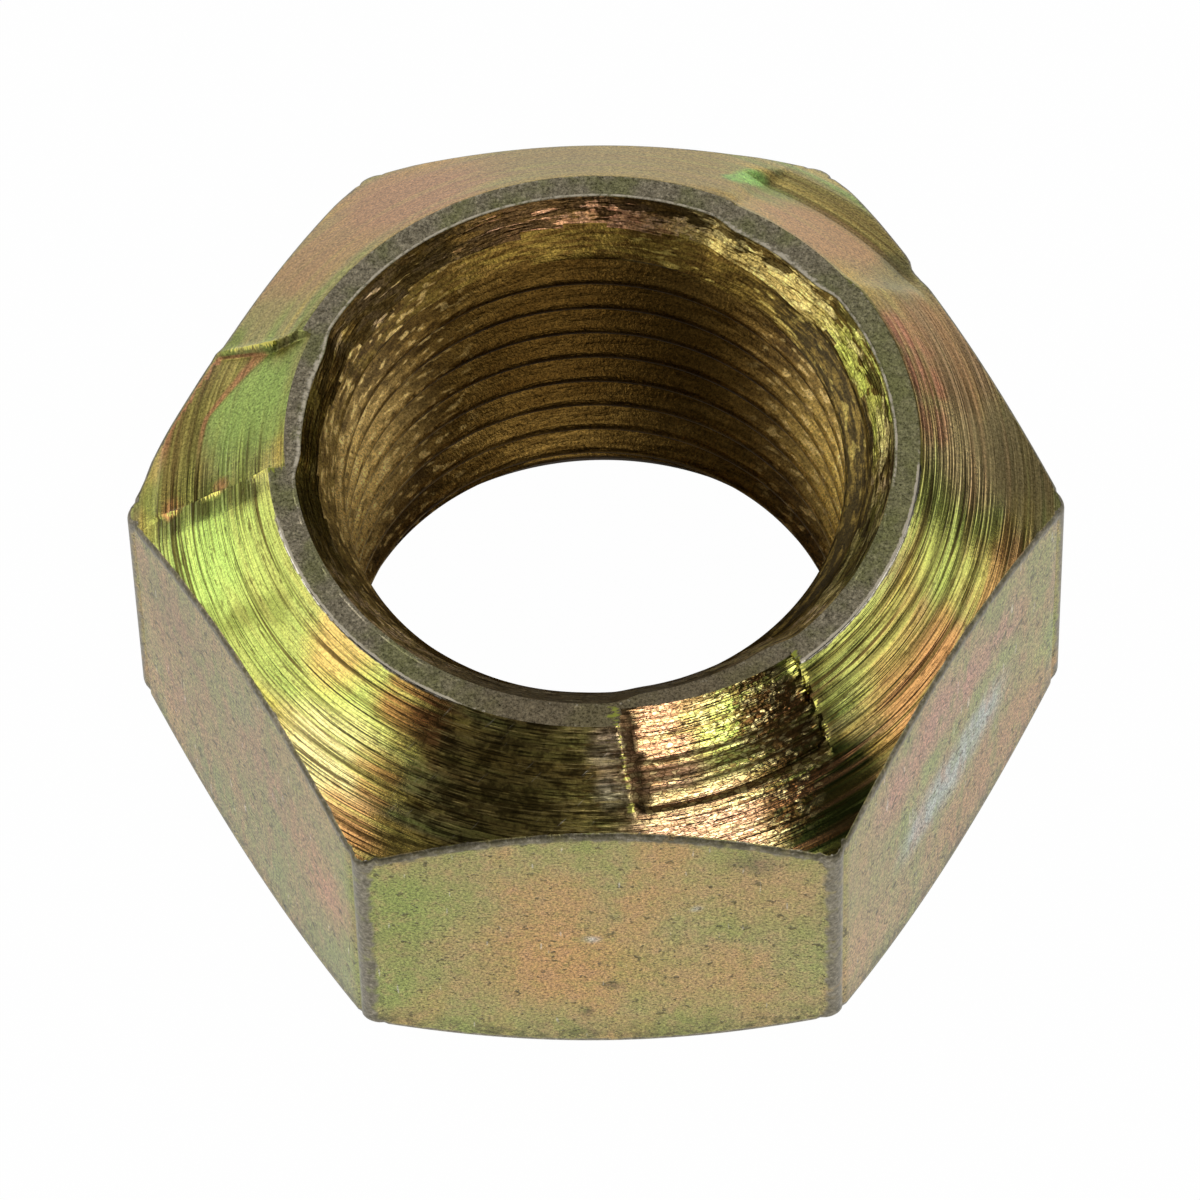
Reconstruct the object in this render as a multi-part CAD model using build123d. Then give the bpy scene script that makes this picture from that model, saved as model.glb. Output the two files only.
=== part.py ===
from build123d import *
from dataclasses import dataclass
import math
import os

# Self-locking hexagon back nut, M18 x 1.5, turned and crimped from one piece of steel.
# Millimetres and degrees. +Z is the nut's axis. The origin is the centre of the flat bearing face.

# Hexagon
width_across_flats = 27.0
nut_height = 16.3
vertical_edge_radius = 0.5
rim_edge_radius = 0.3

# Turned cone above the hexagon, ending in a narrow flat ring round the bore's mouth
cone_angle = 39.2
ring_outer_diameter = 21.4
ring_inner_diameter = 19.7

# Chamfer below the hexagon, round the bearing face
bearing_face_diameter = 25.6
bottom_chamfer_angle = 36.0

# Bore, at the thread's minor diameter, with a countersink at each end
minor_diameter = 16.5
top_countersink_half_angle = 45.0
bottom_countersink_diameter = 19.6
bottom_countersink_half_angle = 30.0

# How far the crimp marks push the bore's mouth inwards
mouth_squeeze = 0.25

# Spare length and angle by which a cutting shape passes a surface
overcut = 1.0
spare_turn = 8.0


@dataclass(frozen=True)
class CrimpMark:
    """One of the marks that a press sank into the cone to lock the nut.

    A mark is a shallow valley. Its floor goes down from the ring to a crease, and a facet comes back
    from there to the cone. azimuth and width are the middle and the width of its floor, in degrees
    round the axis. ring_bite is how far it eats into the ring. crease_run and facet_run are how far
    the crease and the facet's end lie outside the ring's untouched edge. depth is the crease's depth,
    straight down. near_lean and far_lean are the angles of its two end walls from upright, the near
    wall being the one at the lower azimuth.
    """

    azimuth: float
    width: float
    ring_bite: float
    crease_run: float
    facet_run: float
    depth: float
    near_lean: float
    far_lean: float


# The press sat off centre, so each mark has its own reach, depth and end walls
front_mark = CrimpMark(
    azimuth=-68.5,
    width=27.5,
    ring_bite=0.63,
    crease_run=1.80,
    facet_run=2.27,
    depth=0.47,
    near_lean=42.0,
    far_lean=0.0,
)
right_mark = CrimpMark(
    azimuth=50.5,
    width=25.0,
    ring_bite=0.12,
    crease_run=2.60,
    facet_run=3.55,
    depth=0.38,
    near_lean=45.0,
    far_lean=70.0,
)
left_mark = CrimpMark(
    azimuth=170.0,
    width=24.6,
    ring_bite=0.32,
    crease_run=2.35,
    facet_run=3.60,
    depth=0.36,
    near_lean=35.0,
    far_lean=0.0,
)
crimp_marks = (front_mark, right_mark, left_mark)

across_corners_radius = width_across_flats / 2 / math.cos(math.radians(30))
cone_slope = math.tan(math.radians(cone_angle))
chamfer_slope = math.tan(math.radians(bottom_chamfer_angle))
ring_outer_radius = ring_outer_diameter / 2
bore_wall_radius = minor_diameter / 2
top_mouth_radius = ring_inner_diameter / 2
bottom_mouth_radius = bottom_countersink_diameter / 2


def cone_height(radius):
    """Height of the turned cone at a radius."""
    return nut_height - (radius - ring_outer_radius) * cone_slope


def chamfer_height(radius):
    """Height of the lower chamfer at a radius."""
    return (radius - bearing_face_diameter / 2) * chamfer_slope


def countersink_depth(mouth_radius, half_angle):
    """Depth at which a countersink meets the bore's wall."""
    return (mouth_radius - bore_wall_radius) / math.tan(math.radians(half_angle))


def turned(outline, arc=360.0):
    """Solid that a closed outline of radius and height sweeps round the axis, from azimuth 0."""
    return revolve(Plane.XZ * make_face(outline), Axis.Z, revolution_arc=arc)


def hexagon_bar():
    """Hexagon bar with its six upright edges rounded, two flats facing -Y and +Y."""
    section = RegularPolygon(across_corners_radius, 6)
    section = fillet(section.vertices(), vertical_edge_radius)
    return extrude(section, nut_height)


def turned_body():
    """Solid of revolution that turning leaves: bearing face, chamfer, cone and ring."""
    outer = across_corners_radius + overcut
    outline = Polyline(
        (0, 0),
        (bearing_face_diameter / 2, 0),
        (outer, chamfer_height(outer)),
        (outer, cone_height(outer)),
        (ring_outer_radius, nut_height),
        (0, nut_height),
        close=True,
    )
    return turned(outline)


def rim_edges(blank):
    """Curved edges where the six flats run out into the cone and into the lower chamfer."""
    flat_faces = [face for face in blank.faces() if is_flat_side(face)]
    return [edge for face in flat_faces for edge in face.edges() if not is_upright(edge)]


def is_flat_side(face):
    """Whether a face is one of the hexagon's flats."""
    return face.geom_type == GeomType.PLANE and abs(face.normal_at().Z) < 0.5


def is_upright(edge):
    """Whether an edge runs parallel to the nut's axis."""
    return edge.geom_type == GeomType.LINE


def bore():
    """What the bore and its two countersinks remove, less the three stretches of squeezed mouth."""
    outline = Polyline(
        (0, -overcut),
        (bottom_mouth_radius, -overcut),
        (bottom_mouth_radius, 0),
        (bore_wall_radius, countersink_depth(bottom_mouth_radius, bottom_countersink_half_angle)),
        (bore_wall_radius, top_countersink_foot()),
        (top_mouth_radius, nut_height),
        (top_mouth_radius, nut_height + overcut),
        (0, nut_height + overcut),
        close=True,
    )
    return turned(outline) - [squeezed_mouth(mark) for mark in crimp_marks]


def top_countersink_foot():
    """Height where the upper countersink meets the bore's wall."""
    return nut_height - countersink_depth(top_mouth_radius, top_countersink_half_angle)


def squeezed_mouth(mark):
    """Stretch of the bore's mouth that a mark has pushed inwards, as metal left standing."""
    clear = nut_height + 2 * overcut
    outline = Polyline(
        (bore_wall_radius, top_countersink_foot()),
        (top_mouth_radius - mouth_squeeze, nut_height),
        (top_mouth_radius - mouth_squeeze, clear),
        (top_mouth_radius + overcut, clear),
        (top_mouth_radius + overcut, top_countersink_foot()),
        close=True,
    )
    return Rot(0, 0, mark.azimuth - mark.width / 2) * turned(outline, mark.width)


def mark_cut(mark):
    """What a mark removes: a floor that slopes down to a crease, a facet beyond it and two end walls."""
    inner = ring_outer_radius - mark.ring_bite
    crease = ring_outer_radius + mark.crease_run
    facet_end = ring_outer_radius + mark.facet_run
    outer = across_corners_radius + overcut
    crease_height = cone_height(crease) - mark.depth
    floor_slope = (nut_height - crease_height) / (crease - inner)
    facet_slope = (cone_height(facet_end) - crease_height) / (facet_end - crease)
    clear = nut_height + overcut
    outline = Polyline(
        (inner - overcut / floor_slope, clear),
        (crease, crease_height),
        (outer, crease_height + (outer - crease) * facet_slope),
        (outer, clear),
        close=True,
    )
    half = mark.width / 2
    cut = Rot(0, 0, -half - spare_turn) * turned(outline, mark.width + 2 * spare_turn)
    floor_point = Vector(crease, 0, crease_height)
    floor_line = Vector(1, 0, -floor_slope)
    for azimuth, lean, inward in ((-half, mark.near_lean, 1), (half, mark.far_lean, -1)):
        cut = split(cut, end_wall(floor_point, floor_line, azimuth, lean, inward), Keep.TOP)
    return Rot(0, 0, mark.azimuth) * cut


def end_wall(floor_point, floor_line, azimuth, lean, inward):
    """Plane of a mark's end wall. It holds the floor's line at an azimuth and leans back from the mark.

    inward is 1 where the mark lies at higher azimuths than the wall, and -1 where it lies at lower ones.
    """
    sideways = Vector(0, inward, 0)
    upwards = Vector(-floor_line.Z, 0, floor_line.X).normalized()
    tilt = math.radians(lean)
    wall = Plane(floor_point, floor_line, upwards * math.sin(tilt) + sideways * math.cos(tilt))
    return Plane(Rot(0, 0, azimuth) * wall.location)


def back_nut():
    """The whole nut as one solid."""
    blank = hexagon_bar() & turned_body()
    blank = fillet(rim_edges(blank), rim_edge_radius)
    return blank - bore() - [mark_cut(mark) for mark in crimp_marks]


os.makedirs("parts", exist_ok=True)
export_step(back_nut(), "parts/back_nut.step")
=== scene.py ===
"""Studio scene for a plated, crimped back nut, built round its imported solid."""

import logging
import math
from dataclasses import dataclass
from enum import Enum
from typing import Any, Optional, Union

import bmesh
import bpy
import numpy as np
from mathutils import Matrix, Vector, noise


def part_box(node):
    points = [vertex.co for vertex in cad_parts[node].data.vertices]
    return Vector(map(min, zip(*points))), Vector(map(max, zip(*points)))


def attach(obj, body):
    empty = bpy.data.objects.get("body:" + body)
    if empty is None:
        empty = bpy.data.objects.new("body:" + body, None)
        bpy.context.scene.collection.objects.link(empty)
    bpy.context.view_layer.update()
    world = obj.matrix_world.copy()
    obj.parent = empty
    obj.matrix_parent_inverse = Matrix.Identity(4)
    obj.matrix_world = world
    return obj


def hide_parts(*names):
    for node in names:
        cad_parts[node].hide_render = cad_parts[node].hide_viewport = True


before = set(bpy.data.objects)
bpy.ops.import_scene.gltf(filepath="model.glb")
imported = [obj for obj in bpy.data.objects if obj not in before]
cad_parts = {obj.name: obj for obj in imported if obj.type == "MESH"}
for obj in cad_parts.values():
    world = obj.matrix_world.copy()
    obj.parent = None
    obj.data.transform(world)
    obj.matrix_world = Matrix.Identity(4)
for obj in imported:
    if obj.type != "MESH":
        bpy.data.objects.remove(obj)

LOG = logging.getLogger("back_nut")
NODE = "back_nut"
MM = 0.001
HALF_FLATS = 13.5
NUT_TOP = 16.3
RING_OUTER = 10.7
CONE_ANGLE = 39.2

Colour = tuple[float, float, float, float]
Point = tuple[float, float, float]


class Zone(Enum):
    """The nut's kinds of surface, in the order of the piece's material slots.

    BEARING is the bearing face with the lower chamfer, and MOUTH is the upper countersink.
    """

    BEARING = 0
    FLAT = 1
    CONE = 2
    RING = 3
    MOUTH = 4
    THREAD = 5


def srgb(red: int, green: int, blue: int) -> Colour:
    """Turn a display colour into a scene colour.

    Args:
        red: Red from 0 to 255.
        green: Green from 0 to 255.
        blue: Blue from 0 to 255.

    Returns:
        The linear colour with full alpha.
    """
    linear = []
    for channel in (red, green, blue):
        share = channel / 255
        linear.append(share / 12.92 if share <= 0.04045 else ((share + 0.055) / 1.055) ** 2.4)
    return (linear[0], linear[1], linear[2], 1.0)


def smooth_step(low: float, high: float, value: np.ndarray) -> np.ndarray:
    """Ease from 0 at low to 1 at high, also where low is the larger."""
    share = np.clip((value - low) / (high - low), 0, 1)
    return share * share * (3 - 2 * share)


def tent(value: np.ndarray, start: Any, peak: Any, stop: Any) -> np.ndarray:
    """Rise in a straight line from 0 at start to 1 at peak, and fall back to 0 at stop."""
    return np.clip(np.minimum((value - start) / (peak - start), (stop - value) / (stop - peak)), 0, 1)


def turn_from(azimuth: np.ndarray, middle: Any) -> np.ndarray:
    """Angle of each direction from a middle one, from -180 to 180 degrees."""
    return (azimuth - middle + 180) % 360 - 180


def turn_from_corner(azimuth: np.ndarray) -> np.ndarray:
    """Angle of each direction from the hexagon's nearest corner, from -30 to 30 degrees."""
    return (azimuth + 30) % 60 - 30


def waviness(x: np.ndarray, y: np.ndarray, z: np.ndarray, scale: float) -> np.ndarray:
    """Smooth noise at points in space, the same on every run.

    Args:
        x: First coordinates.
        y: Second coordinates.
        z: Third coordinates.
        scale: Size of one bump, in the coordinates' units.

    Returns:
        Values from about -1 to 1, in the shape of x.
    """
    points = np.stack(np.broadcast_arrays(x, y, z), axis=-1) / scale
    flat = points.reshape(-1, 3)
    values = np.fromiter((noise.noise(Vector(point)) for point in flat), float, len(flat))
    return values.reshape(points.shape[:-1])


def on_flat(facing: float, along: float, height: float) -> Point:
    """A place on one of the hexagon's flats, in millimetres.

    Args:
        facing: Direction that the flat faces, in degrees.
        along: Distance from the flat's middle, anticlockwise.
        height: Height above the bearing face.

    Returns:
        The point.
    """
    turn = math.radians(facing)
    x = HALF_FLATS * math.cos(turn) - along * math.sin(turn)
    y = HALF_FLATS * math.sin(turn) + along * math.cos(turn)
    return (x, y, height)


def on_cone(azimuth: float, radius: float) -> Point:
    """A place on the cone, in millimetres, from its direction in degrees and its radius."""
    turn = math.radians(azimuth)
    height = NUT_TOP - (radius - RING_OUTER) * math.tan(math.radians(CONE_ANGLE))
    return (radius * math.cos(turn), radius * math.sin(turn), height)


def placed(name: str, data: bpy.types.ID) -> bpy.types.Object:
    """A new object in the scene, made of its mesh, lamp or camera data."""
    item = bpy.data.objects.new(name, data)
    bpy.context.scene.collection.objects.link(item)
    return item


@dataclass(frozen=True)
class Burr:
    """Torn metal that stands on the edge of a crimp mark. Millimetres.

    Attributes:
        side: -1 for the end wall at the lower azimuth, 1 for the other.
        radius: Where along the wall it stands.
        reach: How far it runs to either side of there.
        height: Its height.
        width: How broad it is beside the thin ridge that it stands on.
    """

    side: int
    radius: float
    reach: float
    height: float
    width: float = 1.0


@dataclass(frozen=True)
class PressMark:
    """One crimp mark on the cone, as the press left it. Millimetres and degrees.

    Attributes:
        azimuth: Direction of the middle of the mark's floor.
        width: Width of the floor round the axis.
        ring_bite: How far the mark eats into the ring.
        crease_run: How far the crease at the floor's end lies outside the ring's untouched edge.
        facet_run: How far the end of the facet beyond the crease lies outside that edge.
        depth: Depth of the crease, straight down.
        near_wall: Width of the end wall at the lower azimuth.
        far_wall: Width of the end wall at the higher azimuth.
        bulge_start: Direction where the flat's rim starts to bulge outwards, from the mark's middle.
        bulge_end: Direction where the bulge ends.
        bulge: How far the rim bulges.
        ragged: Height of the thin ridge along the end walls.
        burrs: Larger burrs on that ridge.
        dark: How much shade is painted on the near wall, on the far wall and along the crease and scores.
        taper: How much of its width an end wall keeps where the mark is shallow.
        scores: Distances inside the crease at which the tool scored the floor.
        bite_shift: Shift of the mark's inner end, as pairs of an angle from its middle and millimetres.
        crease_shift: Shift of the crease, in the same form.
        slant: How far each end wall turns outwards on its way to the ring, in degrees.
        soft: How much the end walls are rounded, from 0 to 1.
        heave: How far the metal before the mark stands up.
        far_heave: How far the metal beyond it stands up, below 0 where it was drawn down.
        heave_reach: How far from the mark the metal stands up.
        squeeze: How far the mark pushes the bore's mouth inwards.
        bulge_rise: Angle over which the rim's bulge rises.
        bulge_fall: Angle over which it falls again.
        slant_fade: Angles past the floor from which and to which the end walls' turn fades out.
        heave_blend: Angle to either side of the middle over which the two heaves pass into each other.
        squeeze_fade: Angles past the floor to which and from which the squeeze fades out.
        middle_radius: Radius of the cone's middle.
        thin_wall: Width below which an end wall has mesh lines at its top and foot alone.
        wall_lines: Places of the mesh lines across a wider end wall, as shares of its width.
        outer_lines: Distances of the mesh lines beside an end wall.
    """

    azimuth: float
    width: float
    ring_bite: float
    crease_run: float
    facet_run: float
    depth: float
    near_wall: float
    far_wall: float
    bulge_start: float = 0.0
    bulge_end: float = 0.0
    bulge: float = 0.0
    ragged: float = 0.03
    burrs: tuple[Burr, ...] = ()
    dark: tuple[float, float, float] = (1.0, 0.5, 1.0)
    taper: float = 0.7
    scores: tuple[float, ...] = ()
    bite_shift: tuple[tuple[float, float], ...] = ((0.0, 0.0),)
    crease_shift: tuple[tuple[float, float], ...] = ((0.0, 0.0),)
    slant: tuple[float, float] = (0.0, 0.0)
    soft: float = 0.0
    heave: float = 0.05
    far_heave: float = 0.05
    heave_reach: float = 0.9
    squeeze: float = 0.25
    bulge_rise: float = 2.5
    bulge_fall: float = 5.0
    slant_fade: tuple[float, float] = (3.0, 14.0)
    heave_blend: float = 2.0
    squeeze_fade: tuple[float, float] = (3.5, -3.0)
    middle_radius: float = 12.0
    thin_wall: float = 0.1
    wall_lines: tuple[float, ...] = (0.0, 0.25, 0.5, 0.75, 0.93, 1.07, 1.2)
    outer_lines: tuple[float, ...] = (0.1, 0.2, 0.32, 0.5, 0.8)

    @property
    def half(self) -> float:
        """Half of the floor's width."""
        return self.width / 2

    def offset(self, azimuth: np.ndarray) -> np.ndarray:
        """Angle of each direction from the mark's middle, from -180 to 180."""
        return turn_from(azimuth, self.azimuth)

    def share(self, radius: np.ndarray, azimuth: np.ndarray, deep: np.ndarray) -> np.ndarray:
        """Share of the local depth at each place, from 0 at a wall's top to 1 at its foot.

        Args:
            radius: Radii in millimetres.
            azimuth: Directions in degrees.
            deep: Local depth of the floor as a share of the crease's.

        Returns:
            Shares.
        """
        arc = np.radians(1.0) * radius
        away = self.offset(azimuth)
        keep = self.taper + (1 - self.taper) * np.clip(deep, 0, 1)
        near = 1 + (self.half + away) * arc / (self.near_wall * keep)
        far = 1 + (self.half - away) * arc / (self.far_wall * keep)
        share = np.clip(np.minimum(near, far), 0, 1)
        return share + self.soft * (smooth_step(0, 1, share) - share)

    def shift(self, pairs: tuple[tuple[float, float], ...], azimuth: np.ndarray) -> np.ndarray:
        """Shift of an edge of the mark at each direction, from its pairs."""
        angles, sizes = zip(*pairs)
        return np.interp(self.offset(azimuth), angles, sizes)

    def slanted(self, rise: np.ndarray, azimuth: np.ndarray) -> np.ndarray:
        """Turn of each place beside the end walls, for a rise of 0 at their outer ends and 1 at the ring."""
        away = self.offset(azimuth)
        start, stop = self.slant_fade
        near = np.interp(np.abs(away), [0, self.half + start, self.half + stop], [0, 1, 0])
        return np.where(away < 0, -self.slant[0], self.slant[1]) * near * rise

    def outside(self, radius: np.ndarray, azimuth: np.ndarray) -> np.ndarray:
        """Distance of each place past the top of the nearer end wall, negative inside."""
        arc = np.radians(1.0) * radius
        away = self.offset(azimuth)
        near = (-away - self.half) * arc - self.near_wall
        far = (away - self.half) * arc - self.far_wall
        return np.maximum(near, far)

    def push(self, azimuth: np.ndarray) -> np.ndarray:
        """Inward push of the bore's mouth at each direction."""
        stop, start = self.squeeze_fade
        return self.squeeze * smooth_step(self.half + stop, self.half + start, np.abs(self.offset(azimuth)))

    def lift(self, azimuth: np.ndarray) -> np.ndarray:
        """Heave of the metal around the mark at each direction."""
        ends = (-self.heave_blend, self.heave_blend)
        return np.interp(self.offset(azimuth), ends, [self.heave, self.far_heave])

    def swell(self, azimuth: np.ndarray) -> np.ndarray:
        """Outward bulge of the rim at each direction."""
        away = self.offset(azimuth)
        rise = smooth_step(self.bulge_start, self.bulge_start + self.bulge_rise, away)
        return self.bulge * rise * smooth_step(self.bulge_end, self.bulge_end - self.bulge_fall, away)

    def lines(self) -> list[float]:
        """Directions where the mesh needs a line for crisp end walls."""
        places = []
        for side, wall in ((-1, self.near_wall), (1, self.far_wall)):
            shares = (0.0, 1.0) if wall < self.thin_wall else self.wall_lines
            steps = [share * wall for share in shares] + [wall + step for step in self.outer_lines]
            turns = [self.half + math.degrees(step / self.middle_radius) for step in steps]
            places += [self.azimuth + side * turn for turn in turns]
        return places


@dataclass
class NutForm:
    """Sizes of the nut's outside, in millimetres and degrees, and its outline at any direction.

    Attributes:
        flats: Width across flats.
        height: Height from bearing face to the lip round the bore.
        marks: The crimp marks.
        upright_edge_radius: Rounding of the six upright edges.
        rim_radius: Rounding of the flats' upper and lower edges.
        cone_angle: Angle of the cone from level.
        ring_outer: Radius of the ring's outer edge.
        ring_inner: Radius of the bore's mouth.
        ring_round: Rounding of the ring's outer edge.
        lip_height: Height of the lip round the mouth.
        lip_width: Width of that lip.
        bearing_radius: Outer radius of the bearing face.
        chamfer_angle: Angle of the lower chamfer from level.
        foot_radius: Inner radius of the bearing face.
        slant_start: Radius from which the marks' end walls turn outwards.
        worn_corner: Direction of the corner whose rim is worn.
        corner_loss: How far that rim is worn back.
        corner_reach: Angle over which the wear fades to either side.
        rim_gap: Least distance between the rim and the stretch that a crease's shift moves.
        shift_start: Distance from the ring at which that stretch starts.
        shift_fade: Angles past a mark's floor from which and to which the crease's shift fades out.
        heave_edge: Distance from the ring over which the heaved metal rises to its full height.
        crease_dark: How much shade is painted along a crease, beside the scores.
        crease_width: Distance from a crease at which its painted shade ends.
        score_width: Distances from a score at which its painted shade ends and at which it is darkest.
    """

    flats: float
    height: float
    marks: list[PressMark]
    upright_edge_radius: float = 0.5
    rim_radius: float = 0.32
    cone_angle: float = CONE_ANGLE
    ring_outer: float = RING_OUTER
    ring_inner: float = 9.85
    ring_round: float = 0.07
    lip_height: float = 0.04
    lip_width: float = 0.14
    bearing_radius: float = 12.8
    chamfer_angle: float = 36.0
    foot_radius: float = 9.8
    slant_start: float = 13.35
    worn_corner: float = 120.0
    corner_loss: float = 0.18
    corner_reach: float = 7.0
    rim_gap: float = 0.12
    shift_start: float = 0.15
    shift_fade: tuple[float, float] = (3.0, 9.0)
    heave_edge: float = 0.5
    crease_dark: float = 0.55
    crease_width: float = 0.1
    score_width: tuple[float, float] = (0.11, 0.02)

    @property
    def cone_slope(self) -> float:
        """Fall of the cone for each millimetre outwards."""
        return math.tan(math.radians(self.cone_angle))

    @property
    def ring_height(self) -> float:
        """Height of the flat ring, just under its lip."""
        return self.height - self.lip_height

    def hexagon(self, azimuth: np.ndarray) -> np.ndarray:
        """Radius of the rounded hexagon at each direction, with corners at 0, 60 and so on.

        Args:
            azimuth: Directions in degrees.

        Returns:
            Radii in millimetres.
        """
        from_corner = np.radians(turn_from_corner(azimuth))
        half = self.flats / 2
        straight = half / np.cos(np.radians(30) - np.abs(from_corner))
        centre = (half - self.upright_edge_radius) / math.cos(math.radians(30))
        inside = self.upright_edge_radius ** 2 - (centre * np.sin(from_corner)) ** 2
        arc = centre * np.cos(from_corner) + np.sqrt(np.maximum(inside, 0))
        return np.where(inside > 0, np.minimum(straight, arc), straight)

    def rim(self, azimuth: np.ndarray) -> np.ndarray:
        """Radius of the flats' upper edge, with the bulges beside the marks and one worn corner."""
        away = np.abs(turn_from(azimuth, self.worn_corner))
        worn = self.corner_loss * smooth_step(self.corner_reach, 0.0, away)
        return self.hexagon(azimuth) + sum(mark.swell(azimuth) for mark in self.marks) - worn

    def cone(self, radius: np.ndarray) -> np.ndarray:
        """Height of the untouched cone and ring at each radius, with a rounded edge between them."""
        past = radius - self.ring_outer
        curve = (past + self.ring_round) ** 2 / (4 * self.ring_round)
        fall = np.where(np.abs(past) < self.ring_round, curve, np.maximum(past, 0))
        return self.ring_height - self.cone_slope * fall

    def mark_ends(self, mark: PressMark) -> tuple[float, float, float]:
        """Radii of a mark's inner end, its crease and the end of its facet."""
        inner = self.ring_outer - mark.ring_bite
        return inner, self.ring_outer + mark.crease_run, self.ring_outer + mark.facet_run

    def pressed(self, mark: PressMark, radius: np.ndarray) -> np.ndarray:
        """Height inside a mark: its floor goes down to the crease, and its facet back to the cone.

        Args:
            mark: The mark.
            radius: Radii in millimetres.

        Returns:
            Heights in millimetres.
        """
        ends = self.mark_ends(mark)
        heights = [self.ring_height, float(self.cone(ends[1])) - mark.depth, float(self.cone(ends[2]))]
        return np.minimum(np.interp(radius, ends, heights), self.cone(radius))

    def share(self, mark: PressMark, radius: np.ndarray, azimuth: np.ndarray) -> np.ndarray:
        """Share of a mark's local depth at each place."""
        deep = (self.cone(radius) - self.pressed(mark, radius)) / mark.depth
        # A ragged wall wanders by up to 0.6 degrees, in waves about 0.9 mm and 0.4 mm long.
        ragged = 0.35 * np.sin(radius * 7.0 + mark.azimuth) + 0.25 * np.sin(radius * 17.0)
        return mark.share(radius, azimuth + ragged * min(mark.ragged / 0.1, 1), deep)

    def heaved(self, mark: PressMark, radius: np.ndarray, azimuth: np.ndarray) -> np.ndarray:
        """Height of the metal that a mark pushed up around itself, fading outwards.

        Args:
            mark: The mark.
            radius: Radii in millimetres.
            azimuth: Directions in degrees.

        Returns:
            Heights in millimetres.
        """
        _, _, end = self.mark_ends(mark)
        gap = np.maximum(mark.outside(radius, azimuth), radius - end)
        fade = np.clip(1 - np.maximum(gap, 0) / mark.heave_reach, 0, 1)
        window = smooth_step(self.ring_outer, self.ring_outer + self.heave_edge, radius)
        inside = self.share(mark, radius, azimuth) * smooth_step(end + 0.4, end, radius)
        return mark.lift(azimuth) * fade * window * (1 - inside)

    def top(self, radius: np.ndarray, azimuth: np.ndarray) -> np.ndarray:
        """Height of the cone, ring and marks.

        Args:
            radius: Radii in millimetres.
            azimuth: Directions in degrees.

        Returns:
            Heights in millimetres.
        """
        height = self.cone(radius) + 0 * azimuth
        for mark in self.marks:
            share = self.share(mark, radius, azimuth)
            height = height + share * (self.pressed(mark, radius) - self.cone(radius))
            height = height + self.heaved(mark, radius, azimuth)
        return height

    def drawn(self, radius: np.ndarray, azimuth: np.ndarray) -> tuple[np.ndarray, np.ndarray, np.ndarray]:
        """Where each place of the even layout lies on the nut, whose marks have slanting edges.

        Args:
            radius: Radii in millimetres.
            azimuth: Directions in degrees.

        Returns:
            Radii and directions on the nut, and the rise of the cone from the old radii to the new ones.
        """
        fade_start, fade_stop = self.shift_fade
        moved = radius + 0 * azimuth
        folded = moved
        turned = azimuth + 0 * radius
        for mark in self.marks:
            inner, crease, end = self.mark_ends(mark)
            bite = tent(radius, self.ring_inner, inner, crease) * mark.share(radius, azimuth, np.ones(1))
            stop = np.minimum(end, self.rim(azimuth) - self.rim_gap)
            fold = tent(radius, self.ring_outer + self.shift_start, crease, stop)
            fade = (mark.half + fade_start, mark.half + fade_stop)
            fold = fold * np.interp(np.abs(mark.offset(azimuth)), fade, [1, 0])
            fold = fold * mark.shift(mark.crease_shift, azimuth)
            folded = folded + fold
            moved = moved + bite * mark.shift(mark.bite_shift, azimuth) + fold
            rise = np.clip((self.slant_start - radius) / (self.slant_start - inner), 0, 1)
            turned = turned + mark.slanted(rise, azimuth)
        return moved, turned, self.cone(folded) - self.cone(radius)

    def shade(self, radius: np.ndarray, azimuth: np.ndarray) -> np.ndarray:
        """Painted shade on the marks' end walls and along their creases and scores, from 0 to 1.

        Args:
            radius: Radii in millimetres.
            azimuth: Directions in degrees.

        Returns:
            Shares.
        """
        total = 0 * radius * azimuth
        for mark in self.marks:
            share = self.share(mark, radius, azimuth)
            inner, crease, end = self.mark_ends(mark)
            window = smooth_step(end + 0.1, end - 0.1, radius) * smooth_step(inner - 0.1, inner + 0.1, radius)
            wall = smooth_step(0.0, 0.25, share) * smooth_step(1.0, 0.9, share) * window
            floor = smooth_step(0.8, 1.0, share)
            near, far, along = mark.dark
            # The painted shade deepens towards the foot of each end wall.
            foot = 0.7 + 0.3 * smooth_step(0.45, 0.85, share)
            lines = [wall * foot * np.where(mark.offset(azimuth) < 0, near, far)]
            away = smooth_step(self.crease_width, 0.0, np.abs(radius - crease))
            lines.append(self.crease_dark * along * floor * away)
            for step in mark.scores:
                lines.append(along * floor * smooth_step(*self.score_width, np.abs(radius - crease + step)))
            total = np.maximum(total, np.max(lines, axis=0))
        return total

    def facets(self, radius: np.ndarray, azimuth: np.ndarray) -> np.ndarray:
        """Share of each place that lies on a mark's facet, beyond its crease."""
        total = 0 * radius * azimuth
        for mark in self.marks:
            _, crease, end = self.mark_ends(mark)
            inner = smooth_step(crease - 0.05, crease + 0.3, radius)
            outer = smooth_step(end + 0.3, end - 0.3, radius)
            floor = smooth_step(0.5, 0.9, self.share(mark, radius, azimuth))
            total = np.maximum(total, inner * outer * floor)
        return total

    def chamfer(self, radius: np.ndarray) -> np.ndarray:
        """Height of the lower chamfer at each radius."""
        return (radius - self.bearing_radius) * math.tan(math.radians(self.chamfer_angle))

    def squeeze(self, azimuth: np.ndarray) -> np.ndarray:
        """Inward push of the bore's mouth by all the marks."""
        return sum(mark.push(azimuth) for mark in self.marks)

    def special_radii(self) -> list[float]:
        """Radii where the top needs a mesh line for crisp edges."""
        radii = [self.ring_outer + self.ring_round * step for step in (-1, -0.5, 0, 0.5, 1)]
        for mark in self.marks:
            inner, crease, end = self.mark_ends(mark)
            radii += [inner, crease - 0.08, crease, crease + 0.08, end, end + 0.06]
            radii += [crease - step + side for step in mark.scores for side in (-0.05, 0, 0.05)]
        return radii


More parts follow.
